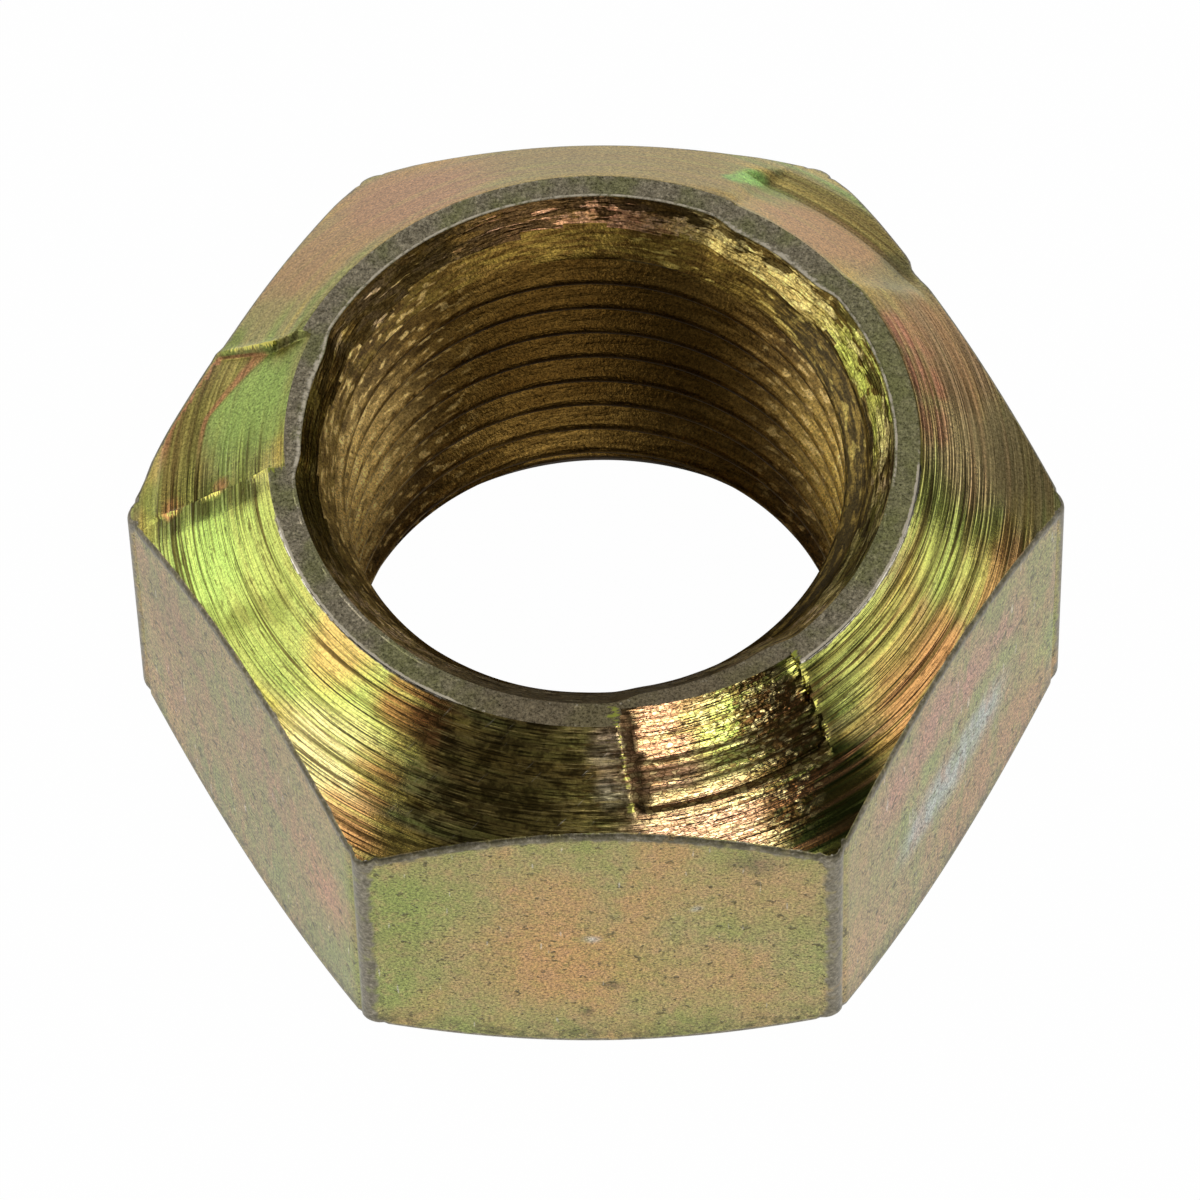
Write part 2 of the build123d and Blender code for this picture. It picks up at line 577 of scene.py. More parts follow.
@dataclass
class BoreForm:
    """The threaded bore with its two countersinks. Millimetres.

    Attributes:
        height: Height of the bore from end to end.
        top_radius: Radius of the upper mouth.
        foot_radius: Radius of the lower mouth.
        foot_slope: How much the lower countersink narrows for each millimetre upwards.
        pitch: Height of one turn of the thread.
        major_radius: Radius at the thread's grooves.
        minor_radius: Radius at the thread's crests.
        start_turn: Share of a turn by which the thread is turned round the axis.
        tear: Height of the torn metal in the upper countersink.
        squeeze_depth: How far down the marks squeeze the bore.
        torn_depth: How far down the metal is torn.
        tear_rise: Depth at which the torn metal reaches its full height.
        tear_fade: Depths from which and to which that height fades out.
        slant_depth: Depth below which the wall no longer turns with the marks' slanting ends.
    """

    height: float
    top_radius: float
    foot_radius: float
    foot_slope: float = 0.577
    pitch: float = 1.5
    major_radius: float = 9.02
    minor_radius: float = 8.25
    start_turn: float = 0.35
    tear: float = 0.06
    squeeze_depth: float = 1.6
    torn_depth: float = 0.82
    tear_rise: float = 0.2
    tear_fade: tuple[float, float] = (0.7, 1.1)
    slant_depth: float = 3.0

    def stations(self) -> list[float]:
        """Shares of one turn's pitch where the thread needs a point, from a crest downwards."""
        half = [0.0, 0.06, 0.13, 0.21, 0.31, 0.41, 0.47]
        return half + [1 - share for share in half[:0:-1]]

    def thread(self, share: np.ndarray) -> np.ndarray:
        """Radius of the rounded thread at a share of the pitch below a crest, which may run past 1."""
        middle = (self.major_radius + self.minor_radius) / 2
        return middle - (self.major_radius - self.minor_radius) / 2 * np.cos(2 * np.pi * share)

    def heights(self, turn: np.ndarray) -> tuple[np.ndarray, np.ndarray]:
        """Rows that follow the helix down the bore.

        Args:
            turn: Each column's share of a full turn, from 0 to 1.

        Returns:
            Heights and pitch shares, one row for each station.
        """
        turns = math.ceil(self.height / self.pitch) + 3
        shares = np.array([whole + part for whole in range(turns) for part in self.stations()])
        start = self.height + self.pitch * (0.5 + self.start_turn)
        heights = start + self.pitch * (turn[None, :] - shares[:, None])
        return heights, np.broadcast_to(shares[:, None], heights.shape)

    def upper(self, height: np.ndarray) -> np.ndarray:
        """Radius of the upper countersink at each height."""
        return self.top_radius - (self.height - height)

    def radius(self, height: np.ndarray, share: np.ndarray) -> np.ndarray:
        """Radius of the bore's wall where thread and countersinks meet."""
        lower = self.foot_radius - height * self.foot_slope
        return np.maximum(np.maximum(self.thread(share), self.upper(height)), lower)


@dataclass
class Rows:
    """Rows of points round the nut that belong to one kind of surface.

    Attributes:
        zone: The kind of surface that follows each row.
        values: By name, the radius, height and azimuth of every point, as rows by columns, and from 0 to 1
        its edge wear with a painted highlight along the ring's edge, torn metal with a painted highlight
        (burr), painted shade on the marks and a darker base and rim on the flats (shade), and share of
        a mark's facet.
    """

    zone: Zone
    values: dict[str, np.ndarray]


class NutMesh:
    """Builds the nut's closed mesh from rows that run round it and columns at each direction.

    Attributes:
        shares: Values that the finishes read at each point.
        column_step: Angle between columns.
        column_gap: Least distance of such a column from an exact one, as a share of the step.
        corner_lines: Directions of exact columns, from each corner of the hexagon.
        top_row_step: Distance between rows on the cone.
        top_row_gap: Least distance of such a row from an exact one, as a share of the step.
        flat_rows: Places of the rows on the flats, as shares of the way up.
        groove_depth: Depth of the lathe's grooves.
        ridge_places: Distances from an end wall's top at which the ridge of torn metal changes height.
        ridge_heights: Heights of the ridge at those places, as shares.
        flat_sag: How far the flats sink between their edges.
        flat_wave: Size of the waves in the flats.
        sag_start: Angles from a corner between which the flats' sag sets in.
        corner_rub: How far the upright edges are worn bare.
        corner_rub_fade: Angles from a corner to which and from which that wear fades out.
        least_edge_sheen: Least strength of the painted highlight along the ring's outer edge.
        sheen_stretches: Directions and amounts of stronger painted highlight along the ring's edge.
        sheen_fade: Angles from its middle to which and from which such a stretch fades out.
        bright_lip: Direction of the middle of the lip's bright stretch.
        bright_fade: Angles from there to which and from which that stretch fades out.
        sharp_angle: Angle between faces above which an edge is sharp.
        seed: Seed of the grooves' depths.
    """

    shares = ("edge_wear", "burr", "shade", "facet")
    column_step = 1.3
    column_gap = 0.4
    corner_lines = (-2.2, -1.6, -1.1, -0.7, -0.35, 0, 0.35, 0.7, 1.1, 1.6, 2.2)
    top_row_step = 0.1
    top_row_gap = 0.35
    flat_rows = (0.012, 0.06, 0.12, 0.2, 0.3, 0.4, 0.5, 0.6, 0.7, 0.8, 0.87, 0.94, 0.988)
    groove_depth = 0.005
    ridge_places = (-0.09, 0.0, 0.1, 0.2)
    ridge_heights = (0.0, 1.0, 0.5, 0.0)
    flat_sag = 0.03
    flat_wave = 4.0
    sag_start = (0.5, 4.0)
    corner_rub = 0.8
    corner_rub_fade = (2.3, 0.6)
    least_edge_sheen = 0.3
    sheen_stretches = ((-30.0, 0.62), (-140.0, 0.58))
    sheen_fade = (30.0, 22.0)
    bright_lip = 88.0
    bright_fade = (105.0, 92.0)
    sharp_angle = 36.0
    seed = 18

    def __init__(self, form: NutForm, bore: BoreForm) -> None:
        """Keep the sizes and choose the columns.

        Args:
            form: The outside of the nut.
            bore: The bore.
        """
        self.form = form
        self.bore = bore
        self.random = np.random.default_rng(self.seed)
        self.azimuth = self.columns()
        self.turn = np.radians(self.azimuth)[None, :]
        self.rows: list[Rows] = []

    def columns(self) -> np.ndarray:
        """Directions of the mesh's columns: even steps, with lines at corners and side walls.

        Returns:
            Sorted directions in degrees from 0 to 360.
        """
        exact = []
        for corner in range(0, 360, 60):
            exact += [corner + away for away in self.corner_lines]
        for mark in self.form.marks:
            exact += mark.lines()
        exact = np.unique(np.round(np.array(exact) % 360, 4))
        even = np.arange(0, 360, self.column_step)
        gap = np.abs(turn_from(even[:, None], exact[None, :])).min(axis=1)
        return np.sort(np.concatenate([exact, even[gap > self.column_step * self.column_gap]]))

    def add(self, zone: Zone, radius: np.ndarray, height: np.ndarray, **extra: Any) -> None:
        """Append rows to the outline.

        Args:
            zone: Kind of surface between these rows and from the last to the next ones.
            radius: Radii, as rows by columns.
            height: Heights, as rows by columns.
            extra: Any of the shares, each one value or as rows by columns, and 0 where left out. Azimuth,
                where the rows leave their columns.
        """
        shape = np.broadcast(radius, height).shape
        values = {name: 0.0 for name in self.shares}
        values |= {"radius": radius, "height": height, "azimuth": self.azimuth, **extra}
        values = {name: np.broadcast_to(value, shape).astype(float) for name, value in values.items()}
        self.rows.append(Rows(zone, values))

    def joined(self, name: str) -> np.ndarray:
        """One value of all the points, as rows by columns."""
        return np.concatenate([rows.values[name] for rows in self.rows])

    def line(self, start: tuple, end: tuple, shares: list[float]) -> tuple[np.ndarray, np.ndarray]:
        """Radii and heights of points at given shares of the way from one outline to another."""
        share = np.array(shares)[:, None]
        return tuple(np.asarray(a) * (1 - share) + np.asarray(b) * share for a, b in zip(start, end))

    def curve(self, start: tuple, corner: tuple, end: tuple, count: int) -> tuple[np.ndarray, np.ndarray]:
        """Points on rounded corners, from one tangent point to the other.

        Args:
            start: Radius and height of the first tangent point.
            corner: Radius and height of the sharp corner.
            end: Radius and height of the last tangent point.
            count: Number of points.

        Returns:
            Radii and heights as rows by columns.
        """
        share = np.linspace(0, 1, count)[:, None]
        weights = ((1 - share) ** 2, 2 * share * (1 - share), share ** 2)
        ends = (start, corner, end)
        return tuple(sum(w * np.asarray(p[axis]) for w, p in zip(weights, ends)) for axis in (0, 1))

    def lay_foot(self) -> None:
        """Bearing face, lower chamfer and the rounded edge below the flats."""
        form = self.form
        ones = np.ones_like(self.azimuth)
        inner = (form.foot_radius * ones, 0 * ones)
        face = (form.bearing_radius * ones, 0 * ones)
        self.add(Zone.BEARING, *self.line(inner, face, [0, 0.04, 0.35, 0.7, 0.97]))
        hexagon = form.hexagon(self.azimuth)
        cut = form.rim_radius * math.tan(math.radians((90 - form.chamfer_angle) / 2))
        reach = hexagon - cut * math.cos(math.radians(form.chamfer_angle))
        start = (reach, form.chamfer(reach))
        corner = (hexagon, form.chamfer(hexagon))
        end = (hexagon, form.chamfer(hexagon) + cut)
        self.add(Zone.BEARING, *self.line(face, start, [0, 0.05, 0.5, 0.85]), edge_wear=0.1)
        self.add(Zone.FLAT, *self.curve(start, corner, end, 5), edge_wear=0.8)
        self.lower_rim = end

    def lay_flats(self) -> None:
        """The six flats and the rounded edge above them."""
        form = self.form
        upper = form.rim(self.azimuth)
        cut = form.rim_radius * math.tan(math.radians((90 - form.cone_angle) / 2))
        reach = upper - cut * math.cos(math.radians(form.cone_angle))
        rim_height = form.top(upper, self.azimuth)
        start = (self.lower_rim[0], rim_height - cut)
        shares = np.array(self.flat_rows)
        radius, height = self.line(self.lower_rim, start, shares)
        swell = waviness(radius * np.cos(self.turn), radius * np.sin(self.turn), height, self.flat_wave)
        from_corner = np.abs(turn_from_corner(self.azimuth))
        fade = np.sin(np.pi * shares)[:, None] * smooth_step(*self.sag_start, from_corner)[None, :]
        radius = radius - self.flat_sag * (0.5 + 0.5 * swell) * fade
        radius = radius + (upper - self.lower_rim[0])[None, :] * smooth_step(0.8, 1.0, shares)[:, None]
        wear = 0.5 * smooth_step(0.94, 0.99, shares)[:, None]
        self.add(Zone.FLAT, radius, height, edge_wear=wear, shade=smooth_step(0.1, 0.0, shares)[:, None])
        inner = (reach, form.top(reach, self.azimuth))
        edge = self.curve((upper, rim_height - cut), (upper, rim_height), inner, 5)
        self.add(Zone.FLAT, *edge, edge_wear=0.8, shade=0.7)
        self.rim_reach = reach

    def top_radii(self) -> np.ndarray:
        """Radii of the rows on the cone and ring, from the rim inwards, the same in every direction."""
        form = self.form
        inner = form.ring_inner + form.lip_width
        exact = np.unique(np.round(form.special_radii(), 4))
        even = np.arange(inner, self.rim_reach.max(), self.top_row_step)
        gap = np.abs(even[:, None] - exact[None, :]).min(axis=1)
        return np.sort(np.concatenate([exact, even[gap > self.top_row_step * self.top_row_gap]]))[::-1]

    def grooves(self, radii: np.ndarray) -> np.ndarray:
        """Depth of the lathe's grooves at each place on the cone."""
        rough = self.random.uniform(0, 1, len(radii)) ** 1.5
        drift = waviness(radii[:, None] * 3.0, np.cos(self.turn) * 4, np.sin(self.turn) * 4, 1.0)
        return self.groove_depth * rough[:, None] * (1 + 0.8 * drift)

    def burrs(self, radius: np.ndarray) -> tuple[np.ndarray, np.ndarray]:
        """Height and share of burrs at each place beside the marks' end walls."""
        height = np.zeros(np.broadcast(radius, self.azimuth).shape)
        share = height.copy()
        for mark in self.form.marks:
            inner, _, end = self.form.mark_ends(mark)
            past = mark.outside(radius, self.azimuth)
            ridge = np.interp(past, self.ridge_places, self.ridge_heights)
            window = smooth_step(end + 0.1, end - 0.05, radius) * smooth_step(inner - 0.1, inner, radius)
            side = np.sign(mark.offset(self.azimuth))[None, :]
            torn = waviness(radius * 1.0, side * 7.0 + mark.azimuth, 0 * radius, 0.16)
            amount = ridge * window * np.clip(0.35 + 1.3 * torn, 0, 1)
            height += amount * mark.ragged
            share += amount * min(mark.ragged / 0.05, 1)
            for burr in mark.burrs:
                along = np.exp(-(((radius - burr.radius) / burr.reach) ** 2)) * (side == burr.side)
                lump = np.interp(past / burr.width, self.ridge_places, self.ridge_heights)
                lump = lump * along * np.clip(0.9 + 0.9 * torn, 0.45, 1)
                height = np.maximum(height, lump * burr.height)
                share = np.maximum(share, lump)
        return height, share

    def lay_top(self) -> None:
        """The cone with its grooves, marks and burrs, and the flat ring."""
        form = self.form
        radii = self.top_radii()
        radius = np.minimum(radii[:, None], self.rim_reach[None, :])
        inside = radii[:, None] < self.rim_reach[None, :] - 0.02
        height = form.top(radius, self.azimuth[None, :])
        on_cone = inside & (height < form.ring_height - 0.02)
        height = height - np.where(on_cone, self.grooves(radii), 0)
        rise, burr = self.burrs(radius)
        height = np.minimum(height + np.where(inside, rise, 0), form.height)
        wear = 0.5 * smooth_step(0.25, 0.0, self.rim_reach[None, :] - radius)
        # The ring's outer edge gets a painted highlight, carried with the edge wear.
        wear = wear + self.ring_edge_sheen()[None, :] * smooth_step(0.11, 0.05, np.abs(radius - form.ring_outer))
        extra = {
            "edge_wear": wear,
            "burr": np.where(inside, burr, 0),
            "shade": np.where(inside, form.shade(radius, self.azimuth[None, :]), 0),
            "facet": np.where(inside, form.facets(radius, self.azimuth[None, :]), 0),
        }
        moved, extra["azimuth"], rise = form.drawn(radius, self.azimuth[None, :])
        self.add(Zone.CONE, moved, height + rise, **extra)

    def ring_edge_sheen(self) -> np.ndarray:
        """Painted highlight on the ring's outer edge at each direction: most at the front left and right."""
        share = self.least_edge_sheen + 0 * self.azimuth
        for middle, amount in self.sheen_stretches:
            away = np.abs(turn_from(self.azimuth, middle))
            share = share + amount * smooth_step(*self.sheen_fade, away)
        return share

    def lay_lip(self) -> None:
        """The small raised lip between the ring and the bore's mouth."""
        form = self.form
        push = form.squeeze(self.azimuth)
        ragged = 0.5 + 0.5 * waviness(np.cos(self.turn) * 9, np.sin(self.turn) * 9, 0 * self.turn, 0.4)[0]
        start = (form.ring_inner + form.lip_width * 0.7 - push, form.height - form.lip_height * 0.5 * ragged)
        end = (form.ring_inner + 0.02 - push, start[1])
        away = np.abs(turn_from(self.azimuth, self.bright_lip))
        wear = (0.25 + 0.4 * smooth_step(*self.bright_fade, away))[None, :]
        turned = form.drawn(start[0][None, :], self.azimuth[None, :])[1]
        self.add(Zone.RING, *self.line(start, end, [0, 0.7]), edge_wear=wear, azimuth=turned)

    def lay_bore(self) -> None:
        """The two countersinks and the helical thread between them."""
        bore = self.bore
        height, share = bore.heights(self.azimuth / 360)
        clamped = np.clip(height, 0, bore.height)
        radius = bore.radius(clamped, share)
        depth = bore.height - clamped
        x, y = radius * np.cos(self.turn), radius * np.sin(self.turn)
        torn = waviness(x / 5, y / 5, clamped, 0.3) + 0.5 * waviness(x / 2, y / 2, clamped, 0.2)
        full, gone = bore.tear_fade
        tear = bore.tear * torn * smooth_step(gone, full, depth) * smooth_step(0.0, bore.tear_rise, depth)
        push = self.form.squeeze(self.azimuth)[None, :] * np.clip(1 - depth / bore.squeeze_depth, 0, 1)
        in_mouth = depth < bore.torn_depth + 0.3 * waviness(x / 4, y / 4, 0 * x, 0.5)
        radius = radius + tear - push
        radius = np.where(height >= bore.height, bore.top_radius - push, radius)
        radius = np.where(height <= 0, bore.foot_radius, radius)
        turned = self.form.drawn(bore.top_radius + 0 * radius, self.azimuth[None, :])[1]
        turned = self.azimuth + (turned - self.azimuth) * smooth_step(bore.slant_depth, 0.0, depth)
        self.add(Zone.THREAD, radius, clamped, shade=in_mouth, azimuth=turned)
        self.helix_rows = len(height)
        self.turn_rows = len(bore.stations())

    def faces(self, rows: int, columns: int) -> tuple[np.ndarray, np.ndarray]:
        """Four-sided faces between the rows, shifted by one turn of thread where the helix closes.

        Args:
            rows: Number of rows.
            columns: Number of columns.

        Returns:
            Faces as vertex numbers, and the row that each belongs to.
        """
        first_helix = rows - self.helix_rows
        row, column = np.meshgrid(np.arange(rows), np.arange(columns), indexing="ij")

        def index(row: np.ndarray, column: np.ndarray) -> np.ndarray:
            """Vertex numbers, allowing for the helix's shift past the last column."""
            wraps = column == columns
            earlier = np.maximum(first_helix, row - self.turn_rows)
            shifted = np.where(wraps & (row >= first_helix), earlier, row)
            return shifted * columns + np.where(wraps, 0, column)

        below = (row + 1) % rows
        quads = [index(row, column), index(row, column + 1), index(below, column + 1), index(below, column)]
        return np.stack([part.ravel() for part in quads], axis=1), row.ravel()

    def row_zones(self) -> np.ndarray:
        """The kind of surface of each row, as a material slot."""
        counts = [len(rows.values["radius"]) for rows in self.rows]
        return np.repeat([rows.zone.value for rows in self.rows], counts)

    def zones(self, quads: np.ndarray, owners: np.ndarray) -> np.ndarray:
        """The kind of surface of each face, as a material slot.

        Args:
            quads: Faces as vertex numbers.
            owners: The row that each face belongs to.

        Returns:
            Slot numbers, one for each face.
        """
        height = self.joined("height").ravel()
        in_mouth = self.joined("shade").ravel()
        zone = self.row_zones()[owners]
        level = height[quads].min(axis=1) > self.form.ring_height - 0.02
        zone = np.where((zone == Zone.CONE.value) & level, Zone.RING.value, zone)
        torn = in_mouth[quads].mean(axis=1) > 0.5
        return np.where((zone == Zone.THREAD.value) & torn, Zone.MOUTH.value, zone)

    def build(self, name: str) -> bpy.types.Object:
        """Make the piece.

        Args:
            name: The piece's name.

        Returns:
            The new object, at the origin.
        """
        self.lay_foot()
        self.lay_flats()
        self.lay_top()
        self.lay_lip()
        self.lay_bore()
        radius, height = self.joined("radius"), self.joined("height")
        turn = np.radians(self.joined("azimuth"))
        points = np.stack([radius * np.cos(turn), radius * np.sin(turn), height], axis=-1) * MM
        quads, owners = self.faces(*radius.shape)
        mesh = bpy.data.meshes.new(name)
        mesh.from_pydata(points.reshape(-1, 3).tolist(), [], quads.tolist())
        for share in self.shares:
            values = self.joined(share) + (self.corner_wear() if share == "edge_wear" else 0)
            attribute = mesh.attributes.new(share, "FLOAT", "POINT")
            attribute.data.foreach_set("value", values.clip(0, 1).ravel())
        mesh.polygons.foreach_set("material_index", self.zones(quads, owners).tolist())
        self.clean(mesh)
        return placed(name, mesh)

    def corner_wear(self) -> np.ndarray:
        """Wear along the six upright edges, as rows by columns."""
        away = np.abs(turn_from_corner(self.azimuth))
        near = self.corner_rub * smooth_step(*self.corner_rub_fade, away)
        return (self.row_zones() == Zone.FLAT.value)[:, None] * near[None, :]

    def clean(self, mesh: bpy.types.Mesh) -> None:
        """Merge the points that clamping put in one place, and shade smoothly between sharp edges.

        Args:
            mesh: The mesh to clean.
        """
        work = bmesh.new()
        work.from_mesh(mesh)
        bmesh.ops.remove_doubles(work, verts=work.verts, dist=2e-7)
        bmesh.ops.dissolve_degenerate(work, edges=work.edges, dist=1e-8)
        bmesh.ops.recalc_face_normals(work, faces=work.faces)
        open_edges = sum(1 for edge in work.edges if not edge.is_manifold)
        work.to_mesh(mesh)
        work.free()
        mesh.shade_smooth()
        mesh.set_sharp_from_angle(angle=math.radians(self.sharp_angle))
        triangles = sum(len(polygon.vertices) - 2 for polygon in mesh.polygons)
        LOG.info("%s: %d triangles, %d open edges", mesh.name, triangles, open_edges)


class Signal:
    """A shader socket that takes part in plain arithmetic."""

    def __init__(self, graph: "Graph", socket: bpy.types.NodeSocket) -> None:
        """Keep the socket and the graph that it belongs to."""
        self.graph = graph
        self.socket = socket

    def math(self, operation: str, first: Any, second: Any = 0.0) -> "Signal":
        """One Math node on two values or links."""
        return self.graph.node("ShaderNodeMath", {"operation": operation}, {0: first, 1: second})

    def __add__(self, other: Any) -> "Signal":
        """Sum."""
        return self.math("ADD", self, other)

    def __radd__(self, other: Any) -> "Signal":
        """Sum, reflected."""
        return self.math("ADD", other, self)

    def __sub__(self, other: Any) -> "Signal":
        """Difference."""
        return self.math("SUBTRACT", self, other)

    def __rsub__(self, other: Any) -> "Signal":
        """Difference, reflected."""
        return self.math("SUBTRACT", other, self)

    def __mul__(self, other: Any) -> "Signal":
        """Product."""
        return self.math("MULTIPLY", self, other)

    def __rmul__(self, other: Any) -> "Signal":
        """Product, reflected."""
        return self.math("MULTIPLY", other, self)

    def __truediv__(self, other: Any) -> "Signal":
        """Quotient."""
        return self.math("DIVIDE", self, other)

    def __pow__(self, other: Any) -> "Signal":
        """Power."""
        return self.math("POWER", self, other)

    def magnitude(self) -> "Signal":
        """Value without its sign."""
        return self.math("ABSOLUTE", self)

    def most(self, other: Any) -> "Signal":
        """The larger of two values."""
        return self.math("MAXIMUM", self, other)

    def over(self, low: float, high: float) -> "Signal":
        """Ease from 0 at low to 1 at high, also where low is the larger."""
        inputs = {"Value": self, "From Min": min(low, high), "From Max": max(low, high)}
        eased = self.graph.node("ShaderNodeMapRange", {"interpolation_type": "SMOOTHSTEP"}, inputs)
        return eased if low < high else 1 - eased


@dataclass(frozen=True)
class Tint:
    """A soft patch of one colour in the plating, in millimetres.

    Attributes:
        centre: The patch's middle.
        reach: Radius at which it has faded out.
        colour: Its colour.
        strength: How much of the colour shows in the middle.
        core: Share of the reach over which it stays at its strongest.
    """

    centre: Point
    reach: float
    colour: Colour
    strength: float
    core: float = 0.35


@dataclass(frozen=True)
class Grain:
    """Even noise over a surface.

    Attributes:
        size: Size of its spots, in millimetres.
        detail: Finer levels in it.
        roughness: Strength of those levels.
        shift: Step that keeps noises of like size apart.
        upright: How much height counts, below 1 where the spots are drawn out upwards.
    """

    size: float
    detail: float = 3.0
    roughness: float = 0.55
    shift: float = 0.0
    upright: float = 1.0


@dataclass(frozen=True)
class Lathe:
    """Noise drawn out round the axis, as a lathe's tool leaves it.

    Attributes:
        width: Width of a line, in millimetres.
        run: How far a line runs before it changes, in millimetres.
        detail: Finer levels in it.
        shift: Step that keeps sets of lines apart.
    """

    width: float
    run: float
    detail: float = 2.0
    shift: float = 0.0


@dataclass(frozen=True)
class Streaks:
    """Noise drawn out round the bore's wall.

    Attributes:
        tall: Height of a streak, in millimetres.
        turns: Streaks for each radian round the axis.
        detail: Finer levels in it.
        roughness: Strength of those levels.
    """

    tall: float
    turns: float
    detail: float = 3.0
    roughness: float = 0.6


class Graph:
    """A material's node tree, with one way to add any node."""

    lathe_radius = 12.0
    cone_lean = 0.6

    def __init__(self, name: str) -> None:
        """Start a material of a given name, with an empty tree."""
        self.material = bpy.data.materials.new(name)
        self.material.use_nodes = True
        self.tree = self.material.node_tree
        self.tree.nodes.clear()
        self.output = self.tree.nodes.new("ShaderNodeOutputMaterial")

    def node(
        self,
        kind: str,
        settings: Optional[dict] = None,
        inputs: Optional[dict] = None,
        output: Union[int, str] = 0,
    ) -> Signal:
        """Add a node.

        Args:
            kind: The node's type.
            settings: Properties of the node, and "stops" for a ramp, set before the sockets.
            inputs: Values or links by socket name or number.
            output: The output to give back.

        Returns:
            The chosen output as a signal.
        """
        made = self.tree.nodes.new(kind)
        for key, value in (settings or {}).items():
            if key == "stops":
                self.set_stops(made.color_ramp, value)
            else:
                setattr(made, key, value)
        for key, value in (inputs or {}).items():
            self.feed(made.inputs[key], value)
        return Signal(self, made.outputs[output])

    def set_stops(self, ramp: bpy.types.ColorRamp, stops: list[tuple[float, Colour]]) -> None:
        """Give a ramp its colours."""
        while len(ramp.elements) < len(stops):
            ramp.elements.new(1.0)
        for element, (place, colour) in zip(ramp.elements, stops):
            element.position = place
            element.color = colour

    def feed(self, socket: bpy.types.NodeSocket, value: Any) -> None:
        """Set a socket's value, or link a signal to it."""
        if isinstance(value, Signal):
            self.tree.links.new(value.socket, socket)
        else:
            socket.default_value = value

    def vectors(self, operation: str, first: Any, second: Any, output: Union[int, str] = 0) -> Signal:
        """One Vector Math node on two vectors, or on a vector and a scale."""
        other = "Scale" if operation == "SCALE" else 1
        return self.node("ShaderNodeVectorMath", {"operation": operation}, {0: first, other: second}, output)

    def vector(self, x: Any, y: Any, z: Any) -> Signal:
        """A vector from three numbers."""
        return self.node("ShaderNodeCombineXYZ", None, {0: x, 1: y, 2: z})

    def parts(self, where: Signal) -> tuple[Signal, Signal, Signal]:
        """The three numbers of a vector."""
        made = self.node("ShaderNodeSeparateXYZ", None, {0: where}).socket.node
        return tuple(Signal(self, made.outputs[number]) for number in range(3))

    def place(self) -> Signal:
        """Position on the object, in millimetres."""
        return self.vectors("SCALE", self.node("ShaderNodeTexCoord", output="Object"), 1 / MM)

    def attribute(self, name: str) -> Signal:
        """A value kept at the mesh's points."""
        return self.node("ShaderNodeAttribute", {"attribute_name": name}, output="Fac")

    def polar(self, where: Signal) -> tuple[Signal, Signal, Signal, Signal]:
        """The three numbers of a position, and its distance from the axis."""
        x, y, z = self.parts(where)
        return x, y, z, (x * x + y * y) ** 0.5

    def toward(self, where: Signal, direction: tuple[float, float]) -> Signal:
        """How far a position lies from the axis in one level direction."""
        x, y, _ = self.parts(where)
        return x * direction[0] + y * direction[1]

    def near(self, where: Signal, centre: Point, reach: float, core: float) -> Signal:
        """Closeness to a place, from 0 at the reach to 1 at the core."""
        return self.vectors("DISTANCE", where, centre, "Value").over(reach, core)

    def around(self, where: Signal, across: Signal, turns: float) -> Signal:
        """Place on a turned surface: a distance across it, and units for each radian round the axis."""
        x, y, _, radius = self.polar(where)
        return self.vector(across, x / radius * turns, y / radius * turns)

    def wrapped(self, where: Signal, across: float, along: float) -> Signal:
        """Place on the cone, one unit for each length across the lathe lines and along them."""
        _, _, z, radius = self.polar(where)
        return self.around(where, (radius - z * self.cone_lean) / across, self.lathe_radius / along)

    def wall(self, where: Signal, tall: float, turns: float) -> Signal:
        """Place on the bore's wall, one unit for each streak."""
        return self.around(where, self.parts(where)[2] / tall, turns)

    def warped(self, where: Signal, size: float, amount: float) -> Signal:
        """A position pushed about by noise, so that soft patches get uneven outlines."""
        inputs = {"Vector": where, "Scale": 1 / size, "Detail": 2.0}
        push = self.node("ShaderNodeTexNoise", None, inputs, "Color")
        push = self.vectors("SUBTRACT", push, (0.5, 0.5, 0.5))
        return self.vectors("ADD", where, self.vectors("SCALE", push, amount))

    def noise(self, where: Signal, grain: Grain) -> Signal:
        """Noise at a position, from 0 to 1."""
        if grain.upright != 1.0:
            where = self.vectors("MULTIPLY", where, (1, 1, grain.upright))
        if grain.shift:
            where = self.vectors("ADD", where, (grain.shift, grain.shift * 0.7, -grain.shift))
        inputs = {"Scale": 1 / grain.size, "Detail": grain.detail, "Roughness": grain.roughness}
        return self.node("ShaderNodeTexNoise", None, {"Vector": where, **inputs})

    def rings(self, where: Signal, lathe: Lathe) -> Signal:
        """Noise drawn out round the axis, from 0 to 1."""
        grain = Grain(1.0, lathe.detail, 0.5, lathe.shift)
        return self.noise(self.wrapped(where, lathe.width, lathe.run), grain)

    def streaks(self, where: Signal, streaks: Streaks) -> Signal:
        """Noise drawn out round the bore's wall, from 0 to 1."""
        grain = Grain(1.0, streaks.detail, streaks.roughness)
        return self.noise(self.wall(where, streaks.tall, streaks.turns), grain)

    def cells(self, where: Signal) -> tuple[Signal, Signal]:
        """Uneven cells one unit wide: a random value for each, and the distance from its border."""
        inputs = {"Vector": where, "Scale": 1.0}
        tone = self.node("ShaderNodeTexVoronoi", {"feature": "F1"}, inputs, "Color")
        border = self.node("ShaderNodeTexVoronoi", {"feature": "DISTANCE_TO_EDGE"}, inputs, "Distance")
        return self.parts(tone)[0], border

    def ramp(self, share: Signal, *stops: tuple[float, Colour]) -> Signal:
        """Colours along a ramp."""
        return self.node("ShaderNodeValToRGB", {"stops": stops}, {"Fac": share})

    def blend(self, share: Any, first: Any, second: Any) -> Signal:
        """Mix two colours."""
        return self.node("ShaderNodeMix", {"data_type": "RGBA"}, {"Factor": share, 6: first, 7: second}, 2)

    def layered(self, colour: Any, *layers: tuple[Signal, Any]) -> Any:
        """Lay colours over a base one after another, each where its own mask is above 0."""
        for share, tone in layers:
            colour = self.blend(share, colour, tone)
        return colour

